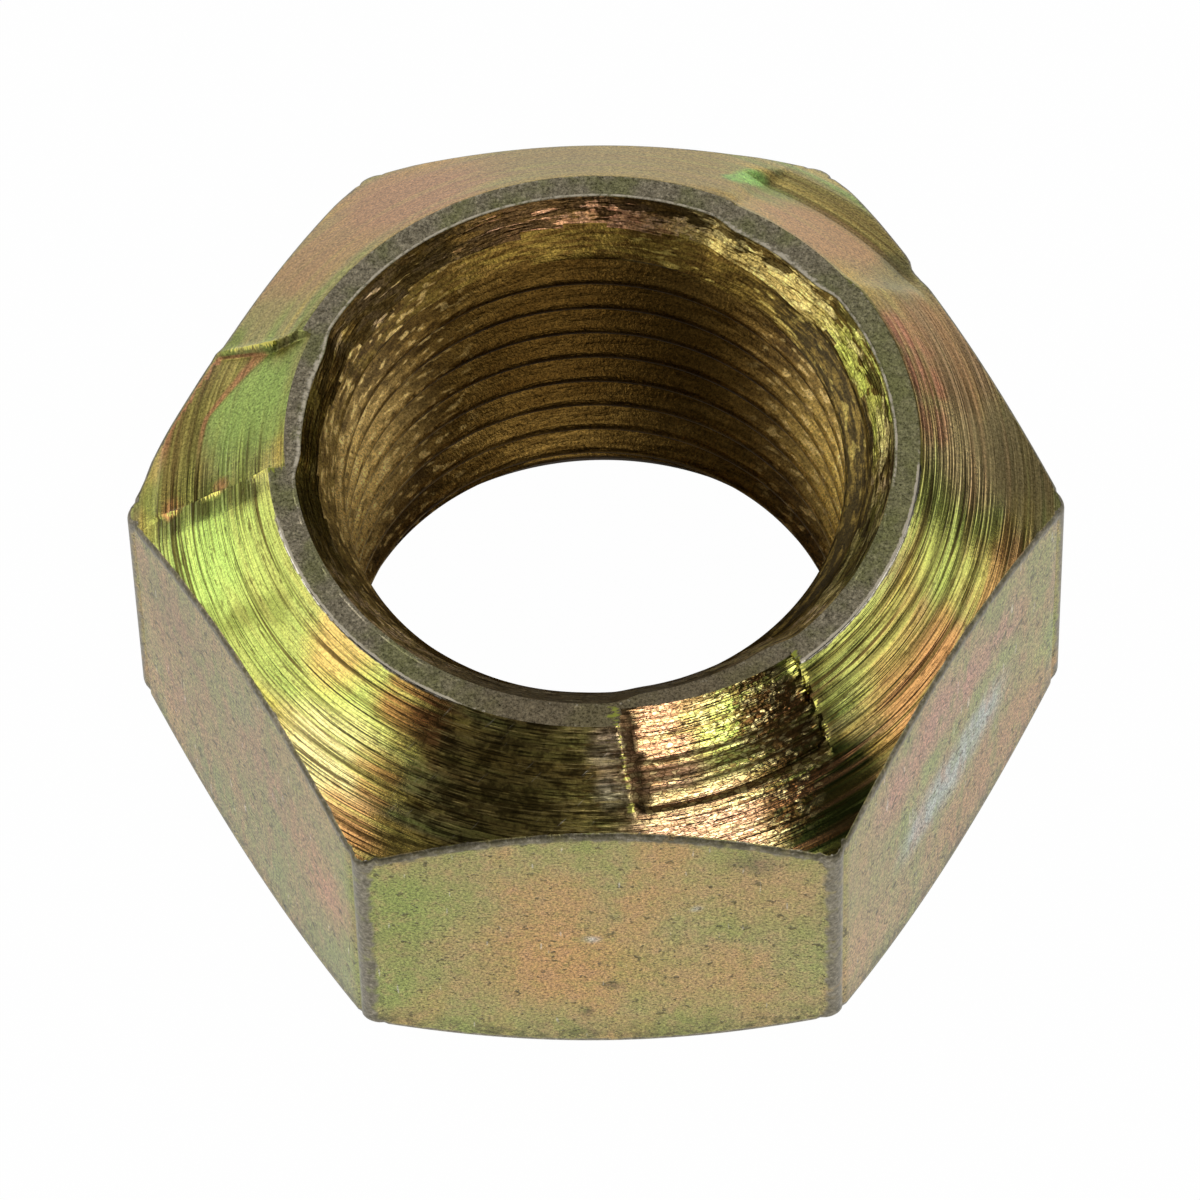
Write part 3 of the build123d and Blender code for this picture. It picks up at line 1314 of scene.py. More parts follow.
    def tinted(self, colour: Any, where: Signal, tints: list[Tint]) -> Any:
        """Lay soft patches of colour over a base."""
        for tint in tints:
            share = self.near(where, tint.centre, tint.reach, tint.reach * tint.core)
            colour = self.blend(share * tint.strength, colour, tint.colour)
        return colour

    def grained(self, colour: Signal, where: Signal, size: float, amount: Any) -> Signal:
        """Lighten and darken a colour in fine grains."""
        return self.vectors("SCALE", colour, 1 + amount * (self.noise(where, Grain(size, 2.0, 0.9)) - 0.5))

    def torn(self, colour: Any, where: Signal, bright: Colour) -> Signal:
        """Show the burrs as bright ticks across the marks' end walls: torn metal with a painted highlight."""
        ticks = self.noise(self.wrapped(where, 0.1, 0.8), Grain(1.0, 2.0, 0.6))
        burr = self.attribute("burr")
        return self.blend((burr + 3.0 * (ticks - 0.5)).over(0.35, 0.6) * burr.over(0.05, 0.3), colour, bright)

    def worn(self, colour: Any, where: Signal, bare: Colour, low: float, high: float) -> Signal:
        """Show bare metal along the worn edges, with a ragged outline."""
        ragged = self.attribute("edge_wear") + 1.0 * (self.noise(where, Grain(0.4, 2.0, 0.65)) - 0.5)
        specks = self.noise(where, Grain(0.14, 3.0, 0.7, 17.0))
        metal = self.ramp(specks, (0.36, srgb(98, 92, 74)), (0.55, bare), (0.76, srgb(176, 168, 148)))
        return self.blend(ragged.over(low, high), colour, metal)

    def bump(self, height: Signal, strength: float, distance: Any, base: Optional[Signal] = None) -> Signal:
        """A normal from a height, with the distance in millimetres."""
        inputs = {"Height": height, "Strength": strength, "Distance": distance * MM}
        if base is not None:
            inputs["Normal"] = base
        return self.node("ShaderNodeBump", None, inputs)

    def metal(self, colour: Any, roughness: Any, metallic: Any, normal: Signal) -> bpy.types.Material:
        """Finish the material with a principled metal.

        Args:
            colour: Base colour.
            roughness: Roughness.
            metallic: Share of metal.
            normal: Bumped normal.

        Returns:
            The material.
        """
        inputs = {"Base Color": colour, "Roughness": roughness, "Metallic": metallic, "Normal": normal}
        shader = self.node("ShaderNodeBsdfPrincipled", None, inputs)
        self.tree.links.new(shader.socket, self.output.inputs[0])
        return self.material


@dataclass(frozen=True)
class Passivation:
    """Colours that the plating shows in more than one place."""

    olive: Colour = srgb(168, 156, 100)
    green: Colour = srgb(150, 166, 88)
    moss: Colour = srgb(148, 154, 82)
    tan: Colour = srgb(188, 154, 100)
    pink: Colour = srgb(190, 148, 114)
    orange: Colour = srgb(222, 160, 100)
    straw: Colour = srgb(208, 218, 112)
    copper: Colour = srgb(206, 142, 100)
    brown: Colour = srgb(74, 54, 24)
    pale: Colour = srgb(214, 206, 190)


TONES = Passivation()


# By the direction that a flat faces: places along it and up it, and their reach, colour and strength.
FLAT_PATCHES: dict[int, list[tuple]] = {
    -90: [
        ([(-7.6, 4.5)], 3.6, srgb(142, 168, 80), 0.95),
        ([(-7.0, 9.5)], 4.2, srgb(140, 168, 76), 0.95),
        ([(-1.2, 5.8)], 4.6, srgb(194, 152, 96), 1.0),
        ([(3.2, 4.6)], 3.4, TONES.tan, 0.6),
        ([(5.4, 10.4)], 3.4, TONES.tan, 0.8),
        ([(7.4, 5.4)], 2.2, TONES.green, 0.8),
        ([(2.5, 0.6)], 3.0, TONES.moss, 0.8),
        ([(-4.5, 1.0)], 3.0, TONES.green, 0.8),
        ([(5.2, 12.1)], 1.2, srgb(100, 90, 62), 0.8),
        ([(-0.4, 7.2)], 0.4, srgb(206, 200, 186), 0.9),
        ([(3.1, 9.2)], 0.35, srgb(190, 186, 170), 0.9),
        ([(0.5, 4.2)], 0.5, srgb(92, 80, 52), 0.8),
        ([(-0.6, 2.3)], 0.4, srgb(92, 80, 52), 0.8),
    ],
    -150: [
        # A darker, pinker cast over the whole left flat: its tone with painted shade.
        ([(0.0, 8.0)], 14.0, srgb(156, 138, 94), 1.0),
        ([(-4.8, 10.0)], 3.8, srgb(150, 122, 90), 0.8),
        ([(-5.0, 5.0)], 2.6, srgb(164, 130, 98), 0.7),
        ([(1.6, 9.0)], 2.4, srgb(166, 130, 100), 0.8),
        ([(5.1, 7.4)], 2.8, srgb(190, 142, 110), 0.9),
        ([(-2.6, 2.8)], 3.0, srgb(134, 140, 86), 0.8),
        ([(1.6, 3.0)], 3.0, srgb(138, 144, 90), 0.8),
        ([(2.2, 6.4)], 1.5, srgb(138, 142, 90), 0.7),
        ([(0.0, 11.4)], 2.0, srgb(146, 144, 100), 0.6),
        ([(5.6, 3.0)], 2.6, srgb(142, 148, 92), 0.8),
    ],
    -30: [
        ([(0.0, 8.0)], 14.0, srgb(162, 148, 104), 1.0),
        ([(5.0, 3.2), (2.6, 3.0), (0.2, 2.4)], 2.8, srgb(178, 138, 100), 0.8),
        ([(3.4, 10.2), (1.0, 10.9), (-1.4, 11.6), (-3.8, 10.9)], 2.4, srgb(188, 140, 124), 0.8),
        ([(3.6, 8.6), (2.0, 8.9), (0.2, 9.0), (-1.6, 9.0), (-3.4, 8.0)], 1.5, srgb(152, 162, 98), 0.8),
        # Painted reflection: a pale bluish glint band across the right flat.
        ([(2.5, 6.9), (1.3, 6.7), (0.1, 6.4), (-1.1, 6.3), (-2.3, 6.3)], 1.9, srgb(180, 188, 184), 0.8),
        ([(7.0, 5.0)], 2.2, TONES.green, 0.7),
        ([(-5.6, 4.0)], 3.4, TONES.pink, 0.5),
    ],
    30: [([(3.0, 6.0)], 4.5, TONES.green, 0.6)],
    90: [([(-3.0, 6.0)], 4.5, TONES.pink, 0.6), ([(4.5, 4.0)], 4.0, TONES.green, 0.6)],
    150: [([(1.0, 8.0)], 4.5, TONES.tan, 0.7)],
}


@dataclass(frozen=True)
class FlatFinish:
    """Satin, mottled finish of the six flats, the lower chamfer and the bearing face."""

    clouds: Grain = Grain(3.0, 4.0, 0.55, 3.0, 0.6)
    mottle: Grain = Grain(0.6, 4.0, 0.8, 8.0, 0.8)
    drops: Grain = Grain(0.9, 3.0, 0.6, 31.0, 0.35)
    flecks: Grain = Grain(0.24, 3.0, 0.6, 45.0, 0.3)
    pits: Grain = Grain(0.4, 2.0, 0.7, 9.0)
    hairs: Grain = Grain(0.2, 1.0, 0.5, 21.0, 0.16)
    stain: Grain = Grain(0.5, 3.0, 0.75, 27.0)
    satin: Grain = Grain(0.16, 2.0, 0.7)
    bare: Colour = srgb(134, 126, 106)
    patch_core: float = 0.05

    def tints(self) -> list[Tint]:
        """Plating colours with painted reflection and shade on the flats, from the rows of FLAT_PATCHES."""
        return [
            Tint(on_flat(facing, *place), reach, colour, strength, self.patch_core)
            for facing, patches in FLAT_PATCHES.items()
            for places, reach, colour, strength in patches
            for place in places
        ]

    def material(self) -> bpy.types.Material:
        """Build the material."""
        graph = Graph("plated_flat")
        where = graph.place()
        x, y, _ = graph.parts(where)
        sides = x.magnitude().over(8.0, 10.0) * y.over(1.0, -1.0)
        grains = (self.clouds, self.mottle, self.drops, self.flecks, self.pits, self.hairs, self.stain)
        clouds, mottle, drops, flecks, pits, hairs, stain = (graph.noise(where, grain) for grain in grains)
        pits = pits.over(0.61, 0.67)
        colour = graph.ramp(clouds, (0.36, TONES.moss), (0.5, TONES.olive), (0.62, TONES.tan))
        colour = graph.tinted(colour, graph.warped(where, 2.2, 1.4), self.tints())
        colour = graph.layered(
            colour,
            (mottle.over(0.45, 0.75) * 0.45, TONES.moss),
            (mottle.over(0.55, 0.25) * 0.45, TONES.pink),
            (drops.over(0.52, 0.64) * 0.4 * sides, srgb(132, 144, 80)),
            (drops.over(0.47, 0.36) * 0.35 * sides, srgb(176, 132, 100)),
            (flecks.over(0.62, 0.7) * 0.6 * sides, srgb(96, 92, 56)),
            (pits * 0.75, srgb(84, 76, 42)),
            (hairs.over(0.72, 0.77) * 0.5, TONES.pale),
        )
        colour = graph.grained(colour, where, 0.1, 3.8 + 0.8 * sides)
        colour = graph.worn(colour, where, self.bare, 0.4, 0.8)
        stain = stain.over(0.38, 0.6) * graph.attribute("shade")
        colour = graph.blend(stain * 0.8, colour, srgb(70, 66, 40))
        normal = graph.bump(graph.noise(where, self.satin), 0.35, 0.03)
        return graph.metal(colour, 0.4, 0.85, graph.bump(pits, 0.4, -0.03, normal))


# Direction, radius, reach, colour, strength and, in some, core of the patches on the cone.
# Most rows are the plating's colours; the rows marked below are painted highlight and painted shade.
CONE_PATCHES = (
    (-160, 13.0, 6.0, srgb(180, 192, 98), 0.95),
    (-168, 13.4, 3.0, srgb(186, 214, 108), 0.8),
    (-130, 11.5, 4.0, TONES.straw, 0.8),
    # Painted highlight: a cream patch on the lit left front of the cone.
    (-130, 14.0, 2.8, srgb(255, 238, 160), 0.95),
    (-138, 11.1, 1.8, srgb(232, 184, 110), 0.7),
    (-122, 13.4, 1.3, srgb(196, 142, 76), 0.8),
    (-124, 15.0, 2.0, TONES.orange, 0.8),
    (-122, 11.3, 1.8, srgb(176, 116, 66), 0.85),
    (-100, 12.5, 4.8, srgb(124, 106, 56), 0.9),
    (-117, 11.4, 1.5, srgb(124, 78, 46), 0.85),
    # Pink-cream below the front mark, brightened as a painted highlight.
    (-78, 11.2, 2.8, srgb(246, 184, 140), 0.95),
    (-75, 13.6, 3.2, srgb(255, 206, 164), 1.0),
    (-68, 11.4, 2.0, srgb(190, 214, 100), 0.9),
    # Painted shade: dark patches at the right end of the front mark.
    (-57, 11.2, 2.4, srgb(62, 48, 24), 0.95, 0.55),
    (-58, 14.0, 2.6, srgb(54, 60, 26), 1.0, 0.6),
    (-40, 11.4, 3.0, TONES.straw, 0.7),
    (-35, 13.8, 3.8, TONES.orange, 0.85),
    (-14, 11.9, 3.2, TONES.straw, 0.8),
    (-16, 14.2, 2.6, TONES.orange, 0.7),
    (2, 12.4, 3.0, srgb(232, 204, 142), 0.9),
    (22, 12.6, 4.0, srgb(178, 138, 96), 0.8),
    (24, 11.2, 1.3, srgb(214, 142, 108), 0.8),
    (14, 11.2, 1.3, srgb(210, 138, 104), 0.8),
    (5, 11.2, 1.1, srgb(200, 130, 98), 0.7),
    (4, 14.1, 2.8, srgb(144, 128, 84), 0.85),
    (37, 12.8, 2.0, srgb(150, 142, 90), 0.8),
    (50, 12.0, 3.4, srgb(190, 146, 98), 0.95),
    (78, 12.2, 4.2, srgb(164, 142, 84), 0.95),
    (98, 12.2, 3.8, srgb(160, 138, 84), 0.95),
    (120, 12.6, 4.6, srgb(180, 136, 98), 0.95),
    (140, 12.8, 3.2, srgb(180, 142, 98), 0.9),
    (150, 12.6, 1.8, TONES.olive, 0.7),
    (168, 11.8, 3.0, srgb(164, 188, 98), 0.95),
    (-158, 13.5, 1.0, srgb(124, 136, 60), 0.6),
    (-155, 12.7, 1.0, srgb(120, 130, 58), 0.6),
    (-152, 11.9, 1.0, srgb(124, 130, 60), 0.6),
    # Painted shade: dark olive beyond the left mark's far wall, where the heaved metal turns from the light.
    (-176, 11.6, 1.2, srgb(120, 124, 58), 0.85),
    (-177, 12.8, 1.2, srgb(116, 122, 56), 0.9),
    (-178, 14.0, 1.3, srgb(112, 120, 54), 0.9),
    (179, 14.6, 1.3, srgb(140, 150, 74), 0.8),
)

# The same for small patches in and beside the crimp marks.
MARK_PATCHES = (
    (-178.6, 12.5, 0.6, TONES.copper, 0.7),
    (-54.0, 10.4, 0.5, srgb(200, 210, 92), 0.9),
    (40, 13.4, 1.1, srgb(132, 124, 78), 0.8),
    (155, 13.3, 0.8, srgb(130, 140, 60), 0.7),
    (-178, 14.0, 0.6, TONES.orange, 0.9),
    # Painted glint: pale patches left of the front mark.
    (-87.5, 11.3, 1.0, srgb(190, 168, 140), 0.8),
    (-87.5, 12.4, 0.8, srgb(206, 190, 160), 0.7),
    (65.3, 13.2, 0.7, srgb(160, 208, 106), 0.95),
    (66.4, 12.75, 0.6, srgb(160, 208, 106), 0.95),
    (67.6, 12.35, 0.5, srgb(150, 196, 100), 0.9),
)


def cone_tints(rows: tuple[tuple, ...]) -> list[Tint]:
    """Tints on the cone, from the rows of one table."""
    return [Tint(on_cone(azimuth, radius), *rest) for azimuth, radius, *rest in rows]


class ConeMasks:
    """Where each kind of lathe mark shows on the cone, from 0 to 1."""

    lined_side = (0.4226, -0.9063)

    def __init__(self, graph: Graph, where: Signal) -> None:
        """Work out the masks.

        Args:
            graph: The cone's material.
            where: Position in millimetres.
        """
        x, y, _ = graph.parts(where)
        lined = graph.toward(where, self.lined_side).over(-3.0, 3.5)
        lined = lined.most(graph.near(where, on_cone(-165, 12.8), 6.0, 3.0))
        lined = lined * (1 - 0.75 * graph.near(where, on_cone(4, 14.6), 3.4, 1.8))
        self.lined = lined * (1 - 0.5 * graph.near(where, on_cone(14, 12.2), 3.6, 2.0))
        self.facet = graph.attribute("facet")
        self.striped = self.lined.most(self.facet * 0.5)
        self.coarse = graph.near(where, on_cone(-101, 12.8), 5.2, 3.3)
        self.even = 1 - self.coarse
        self.pocket = graph.near(where, on_cone(-70, 12.1), 3.9, 3.0)
        self.front_facet = self.facet * y.over(-6.0, -8.0)
        crease = self.facet.over(0.03, 0.3) * self.facet.over(0.98, 0.6)
        self.left_crease = crease * x.over(-6.0, -9.0) * y.over(0.8, 2.6)
        self.east = x.over(3.0, 8.0) * y.over(0.5, -4.0) * self.lined
        self.copper = 0.1 + 0.3 * self.lined * x.over(-2.0, 5.0)


@dataclass(frozen=True)
class TurnedFinish:
    """Cone finish: concentric lathe lines under a bright, shifting passivation."""

    broad: Lathe = Lathe(0.9, 7.0)
    bands: Lathe = Lathe(0.5, 9.0, 2.0, 40.0)
    facet_bands: Lathe = Lathe(0.3, 8.0, 2.0, 57.0)
    lines: Lathe = Lathe(0.22, 9.0, 3.0, 11.0)
    fine: Lathe = Lathe(0.11, 7.0, 2.0, 23.0)
    ridge: Lathe = Lathe(0.36, 16.0, 1.0, 33.0)
    dabs: Lathe = Lathe(0.09, 1.3, 2.0, 63.0)
    chatter: Lathe = Lathe(0.15, 0.24, 1.0, 91.0)
    flecks: Lathe = Lathe(0.12, 0.45, 3.0, 71.0)
    blots: Grain = Grain(0.7, 3.0, 0.7, 5.0)
    sheen_noise: Grain = Grain(0.25, 3.0, 0.7)
    satin: Grain = Grain(0.14, 2.0, 0.7)
    bare: Colour = srgb(124, 116, 96)

    def plating(self, graph: Graph, where: Signal, masks: ConeMasks) -> Signal:
        """Broad colours of the cone and the marks' facets: passivation, painted highlight and painted shade.

        Args:
            graph: The cone's material.
            where: Position in millimetres.
            masks: Where each kind of mark shows.

        Returns:
            The colour.
        """
        broad = graph.rings(where, self.broad)
        colour = graph.ramp(broad, (0.34, srgb(206, 178, 92)), (0.5, TONES.olive), (0.64, TONES.green))
        colour = graph.tinted(colour, graph.warped(where, 1.6, 1.8), cone_tints(CONE_PATCHES))
        stops = (0.36, srgb(130, 100, 50)), (0.5, srgb(174, 154, 80)), (0.64, srgb(204, 182, 100))
        colour = graph.layered(
            colour,
            (masks.facet * 0.8, graph.ramp(graph.rings(where, self.facet_bands), *stops)),
            # Painted shade on the front mark's facet.
            (masks.front_facet * 0.9, srgb(112, 100, 46)),
            (masks.left_crease * 0.8, TONES.copper),
        )
        return graph.tinted(colour, graph.warped(where, 0.5, 0.35), cone_tints(MARK_PATCHES))

    def scratches(self, graph: Graph, where: Signal) -> Signal:
        """Long fine scratches that cross the lathe lines on the coarse patch."""
        along = graph.toward(where, (0.82, 0.57)) / 1.3
        across = graph.toward(where, (-0.57, 0.82)) / 0.13
        return graph.noise(graph.vector(along, across, 0.0), Grain(1.0, 3.0, 0.6)).over(0.65, 0.75)

    def material(self) -> bpy.types.Material:
        """Build the material."""
        graph = Graph("plated_cone")
        where = graph.place()
        masks = ConeMasks(graph, where)
        lined, striped, even = masks.lined, masks.striped, masks.even
        coarse, pocket = masks.coarse, masks.pocket
        shade = graph.attribute("shade")
        lathes = (self.bands, self.lines, self.fine, self.ridge, self.dabs, self.chatter, self.flecks)
        bands, lines, fine, ridge, dabs, chatter, flecks = (graph.rings(where, lathe) for lathe in lathes)
        blots = graph.noise(where, self.blots)
        tone, border = graph.cells(graph.wrapped(graph.warped(where, 0.3, 0.16), 0.13, 0.24))
        colour = graph.layered(
            self.plating(graph, where, masks),
            (bands.over(0.56, 0.7) * masks.copper, TONES.copper),
            (bands.over(0.46, 0.36) * (0.1 + 0.3 * lined * even), TONES.straw),
            (lines.over(0.55, 0.66) * (0.1 + 0.75 * striped * even), TONES.brown),
            (fine.over(0.54, 0.66) * 0.7 * striped * even, srgb(86, 80, 32)),
            (ridge.over(0.5, 0.62) * 0.6 * masks.east, srgb(84, 72, 34)),
            (blots.over(0.44, 0.58) * 0.7 * coarse, srgb(50, 40, 18)),
            (dabs.over(0.52, 0.6) * 0.8 * coarse, srgb(40, 32, 14)),
            (dabs.over(0.42, 0.34) * 0.6 * coarse, srgb(176, 156, 96)),
            (self.scratches(graph, where) * coarse * 0.4, TONES.pale),
            (tone.over(0.5, 0.2) * 0.5 * pocket, srgb(130, 92, 54)),
            # Painted highlight: bright cells on the front mark's crushed floor.
            (tone.over(0.6, 0.9) * 0.5 * pocket, srgb(255, 232, 160)),
            (border.over(0.14, 0.0) * 0.8 * pocket, srgb(70, 44, 22)),
            (flecks.over(0.55, 0.7) * (0.1 + 0.45 * lined), TONES.brown),
            # Painted shade on the marks' end walls and along their creases and scores.
            (shade * 0.95, srgb(38, 28, 12)),
        )
        colour = graph.grained(colour, where, 0.09, 3.0 - 1.4 * lined)
        colour = graph.torn(colour, where, srgb(222, 214, 112))
        colour = graph.worn(colour, where, self.bare, 0.55, 0.85)
        # Painted highlight: the ring's outer edge turns pale where its painted sheen is strongest.
        painted_sheen = graph.attribute("edge_wear") + 0.7 * (graph.noise(where, self.sheen_noise) - 0.5)
        colour = graph.blend(painted_sheen.over(0.78, 0.92), colour, TONES.pale)
        depth = 0.12 + 0.88 * lined * (1 - 0.85 * coarse) + 0.15 * masks.facet
        normal = graph.bump(fine * depth, 0.8, 0.035)
        normal = graph.bump(lines * depth, 0.8, 0.05, normal)
        normal = graph.bump(ridge * masks.east, 1.0, 0.08, normal)
        normal = graph.bump(chatter * pocket * 0.5 + dabs * coarse, 0.8, 0.05, normal)
        normal = graph.bump(graph.noise(where, self.satin), 0.3, 0.03 - 0.018 * lined, normal)
        rough = 0.17 + 0.12 * coarse + 0.2 * (1 - lined) + 0.15 * shade
        return graph.metal(colour, rough, 1 - 0.55 * masks.front_facet, normal)


@dataclass(frozen=True)
class RingFinish:
    """Dull grey finish of the narrow ring, with a pale lip."""

    grain: Grain = Grain(0.16, 3.0, 0.75)
    olive: Grain = Grain(2.2, 3.0, 0.55, 14.0)
    sheen_noise: Grain = Grain(0.2, 4.0, 0.7)

    def material(self) -> bpy.types.Material:
        """Build the material."""
        graph = Graph("plated_ring")
        where = graph.place()
        grain = graph.noise(where, self.grain)
        olive = graph.noise(where, self.olive)
        colour = graph.ramp(grain, (0.3, srgb(138, 128, 104)), (0.7, srgb(206, 194, 166)))
        colour = graph.blend(olive.over(0.45, 0.62) * 0.5, colour, TONES.moss)
        tints = [
            Tint((1.0, -10.3, NUT_TOP), 8.0, srgb(146, 130, 100), 0.7),
            Tint((10.3, 1.0, NUT_TOP), 8.0, srgb(166, 166, 106), 0.55),
        ]
        colour = graph.grained(graph.tinted(colour, where, tints), where, 0.09, 3.4)
        # Pale shine: a painted highlight along the ring's outer edge, and the pale lip.
        shine = graph.attribute("edge_wear") + 1.8 * (graph.noise(where, self.sheen_noise) - 0.5)
        shine = shine.over(0.35, 0.75)
        colour = graph.blend(shine, colour, srgb(238, 226, 200))
        colour = graph.torn(colour, where, srgb(200, 206, 96))
        return graph.metal(colour, 0.48 - 0.1 * shine, 0.95 - 0.65 * shine, graph.bump(grain, 0.4, 0.03))


@dataclass(frozen=True)
class MouthFinish:
    """Torn, sparkling finish of the upper countersink; the sparkle and its lit side are painted light."""

    torn: Streaks = Streaks(0.2, 11.0, 4.0, 0.65)
    dashes: Streaks = Streaks(0.1, 7.0, 3.0, 0.55)
    chips: Streaks = Streaks(0.2, 24.0, 2.0, 0.6)
    wander: Grain = Grain(0.9, 3.0, 0.7, 13.0)
    glow_side: tuple[float, float] = (0.766, 0.643)

    def tints(self) -> list[Tint]:
        """Greener, pinker and greyer torn metal, and a cream patch of painted light at the back right."""
        return [
            Tint((-9.4, 0.0, 15.8), 6.5, srgb(104, 92, 38), 0.95),
            Tint((0.0, -9.4, 15.8), 8.0, srgb(132, 120, 92), 0.9),
            # Painted highlight on the lit back-right side.
            Tint((6.2, 7.4, 15.8), 4.4, srgb(255, 226, 134), 0.95),
            Tint((8.9, 2.6, 15.8), 4.2, srgb(206, 214, 98), 0.85),
            Tint((8.6, -3.6, 15.8), 3.4, srgb(120, 118, 50), 0.8),
            Tint((-1.0, 9.4, 15.8), 5.0, srgb(206, 142, 112), 0.7),
        ]

    def bright(self, graph: Graph, where: Signal, dashes: Signal) -> Signal:
        """Painted light on the torn metal: brightest in a band of wandering height on one side.

        Args:
            graph: The countersink's material.
            where: Position in millimetres.
            dashes: Noise of the torn metal's dashes.

        Returns:
            The brightness, with dark metal below about 0.6.
        """
        x, y, z = graph.parts(where)
        height = z + 1.6 * (graph.noise(where, self.wander) - 0.5)
        deep = height.over(16.15, 15.7) * height.over(14.75, 15.2)
        # Painted light: a lit band on one side, more light at the front and left, and painted shade at the
        # back.
        glow = 0.42 * graph.toward(where, self.glow_side).over(3.5, 8.0) * deep
        front = 0.2 * y.over(0.0, -7.5) + 0.16 * x.over(-4.0, -8.5) * y.over(4.0, 0.0)
        return dashes - 0.07 * y.over(3.0, 8.0) + glow + front

    def material(self) -> bpy.types.Material:
        """Build the material."""
        graph = Graph("plated_mouth")
        where = graph.place()
        x, y, _, radius = graph.polar(where)
        dashes = graph.streaks(where, self.dashes)
        stops = (0.42, srgb(150, 122, 66)), (0.5, srgb(214, 184, 108)), (0.6, srgb(244, 208, 156))
        colour = graph.ramp(graph.streaks(where, self.torn), *stops)
        colour = graph.tinted(colour, graph.warped(where, 1.0, 0.8), self.tints())
        tone, border = graph.cells(graph.warped(graph.wall(where, 0.17, 9.0), 1.0, 1.3))
        colour = graph.layered(
            colour,
            # Dark metal where the painted light is weak: the torn metal's dark dashes, deepened by painted
            # shade.
            (self.bright(graph, where, dashes).over(0.62, 0.54) * 0.92, srgb(62, 48, 22)),
            (tone.over(0.4, 0.1) * 0.4, srgb(120, 92, 40)),
            # Painted highlight: bright cells on the lit right side.
            (tone.over(0.6, 0.9) * 0.5 * x.over(2.0, 6.0), srgb(255, 232, 150)),
            (border.over(0.1, 0.0) * 0.6, srgb(58, 42, 16)),
        )
        colour = graph.grained(colour, where, 0.09, 3.2)
        metallic = 1 - 0.3 * (y / radius).over(0.0, -0.8)
        normal = graph.bump(graph.streaks(where, self.chips), 0.6, 0.06, graph.bump(dashes, 0.8, 0.08))
        return graph.metal(colour, 0.34, metallic, normal)


@dataclass(frozen=True)
class ThreadFinish:
    """Golden-brown finish of the thread."""

    drawn: Streaks = Streaks(0.12, 5.0)
    streaks: Streaks = Streaks(0.1, 9.0)
    highlit_scraps: Streaks = Streaks(0.15, 9.0, 2.0)
    glints: Streaks = Streaks(0.11, 15.0, 1.0, 0.5)
    patches: Grain = Grain(0.9, 4.0, 0.7, 51.0)
    satin: Grain = Grain(0.16, 2.0, 0.75)

    def tints(self) -> list[Tint]:
        """Painted light on the thread's sides, painted shade at its back, and a greener patch."""
        return [
            # Painted light on the left and right sides.
            Tint((-8.5, -0.5, 9.0), 8.5, srgb(255, 214, 126), 1.0),
            Tint((8.5, -0.5, 9.0), 8.0, srgb(246, 206, 106), 1.0),
            # Painted shade at the back.
            Tint((0.0, 8.5, 10.0), 8.0, srgb(66, 46, 16), 0.85),
            Tint((-7.0, -4.5, 5.0), 5.0, srgb(170, 158, 70), 0.7),
        ]

    def material(self) -> bpy.types.Material:
        """Build the material."""
        graph = Graph("plated_thread")
        where = graph.place()
        x, _, z = graph.parts(where)
        drawn, streaks, highlit_scraps, glints = (
            graph.streaks(where, streaks) for streaks in (self.drawn, self.streaks, self.highlit_scraps, self.glints)
        )
        patches = graph.noise(where, self.patches)
        right = graph.toward(where, (0.8, 0.6)).over(5.0, 7.5) * z.over(13.6, 14.5)
        # Painted light: the thread's left and right sides are lit, and the glints gather there.
        sides = x.over(-3.5, -8.0) + 0.8 * x.over(4.5, 8.0) * z.over(14.8, 14.4)
        colour = graph.ramp(drawn, (0.36, srgb(84, 62, 26)), (0.66, srgb(140, 110, 54)))
        colour = graph.layered(
            graph.tinted(colour, where, self.tints()),
            (z.over(14.0, 14.8) * streaks.over(0.42, 0.6) * 0.5, srgb(160, 136, 62)),
            (streaks.over(0.6, 0.46) * z.over(13.8, 14.6) * x.over(3.0, 7.0) * 0.85, srgb(62, 52, 20)),
            # Painted highlight: bright scraps of torn metal on the right, below the countersink's lit side.
            (highlit_scraps.over(0.56, 0.66) * right * 0.6, srgb(236, 210, 112)),
            (patches.over(0.42, 0.7) * 0.3, srgb(66, 48, 18)),
            # Painted glints on the crests, most on the lit sides, with dark dashes beside them.
            (glints.over(0.55, 0.66) * sides, srgb(250, 214, 134)),
            (glints.over(0.46, 0.34) * (0.12 + 0.4 * sides), srgb(60, 42, 18)),
        )
        colour = graph.grained(colour, where, 0.09, 3.2)
        metallic = 1 - 0.35 * x.magnitude().over(4.5, 8.0)
        normal = graph.bump(graph.noise(where, self.satin), 0.6, 0.04, graph.bump(drawn, 0.6, 0.05))
        return graph.metal(colour, 0.4, metallic, normal)


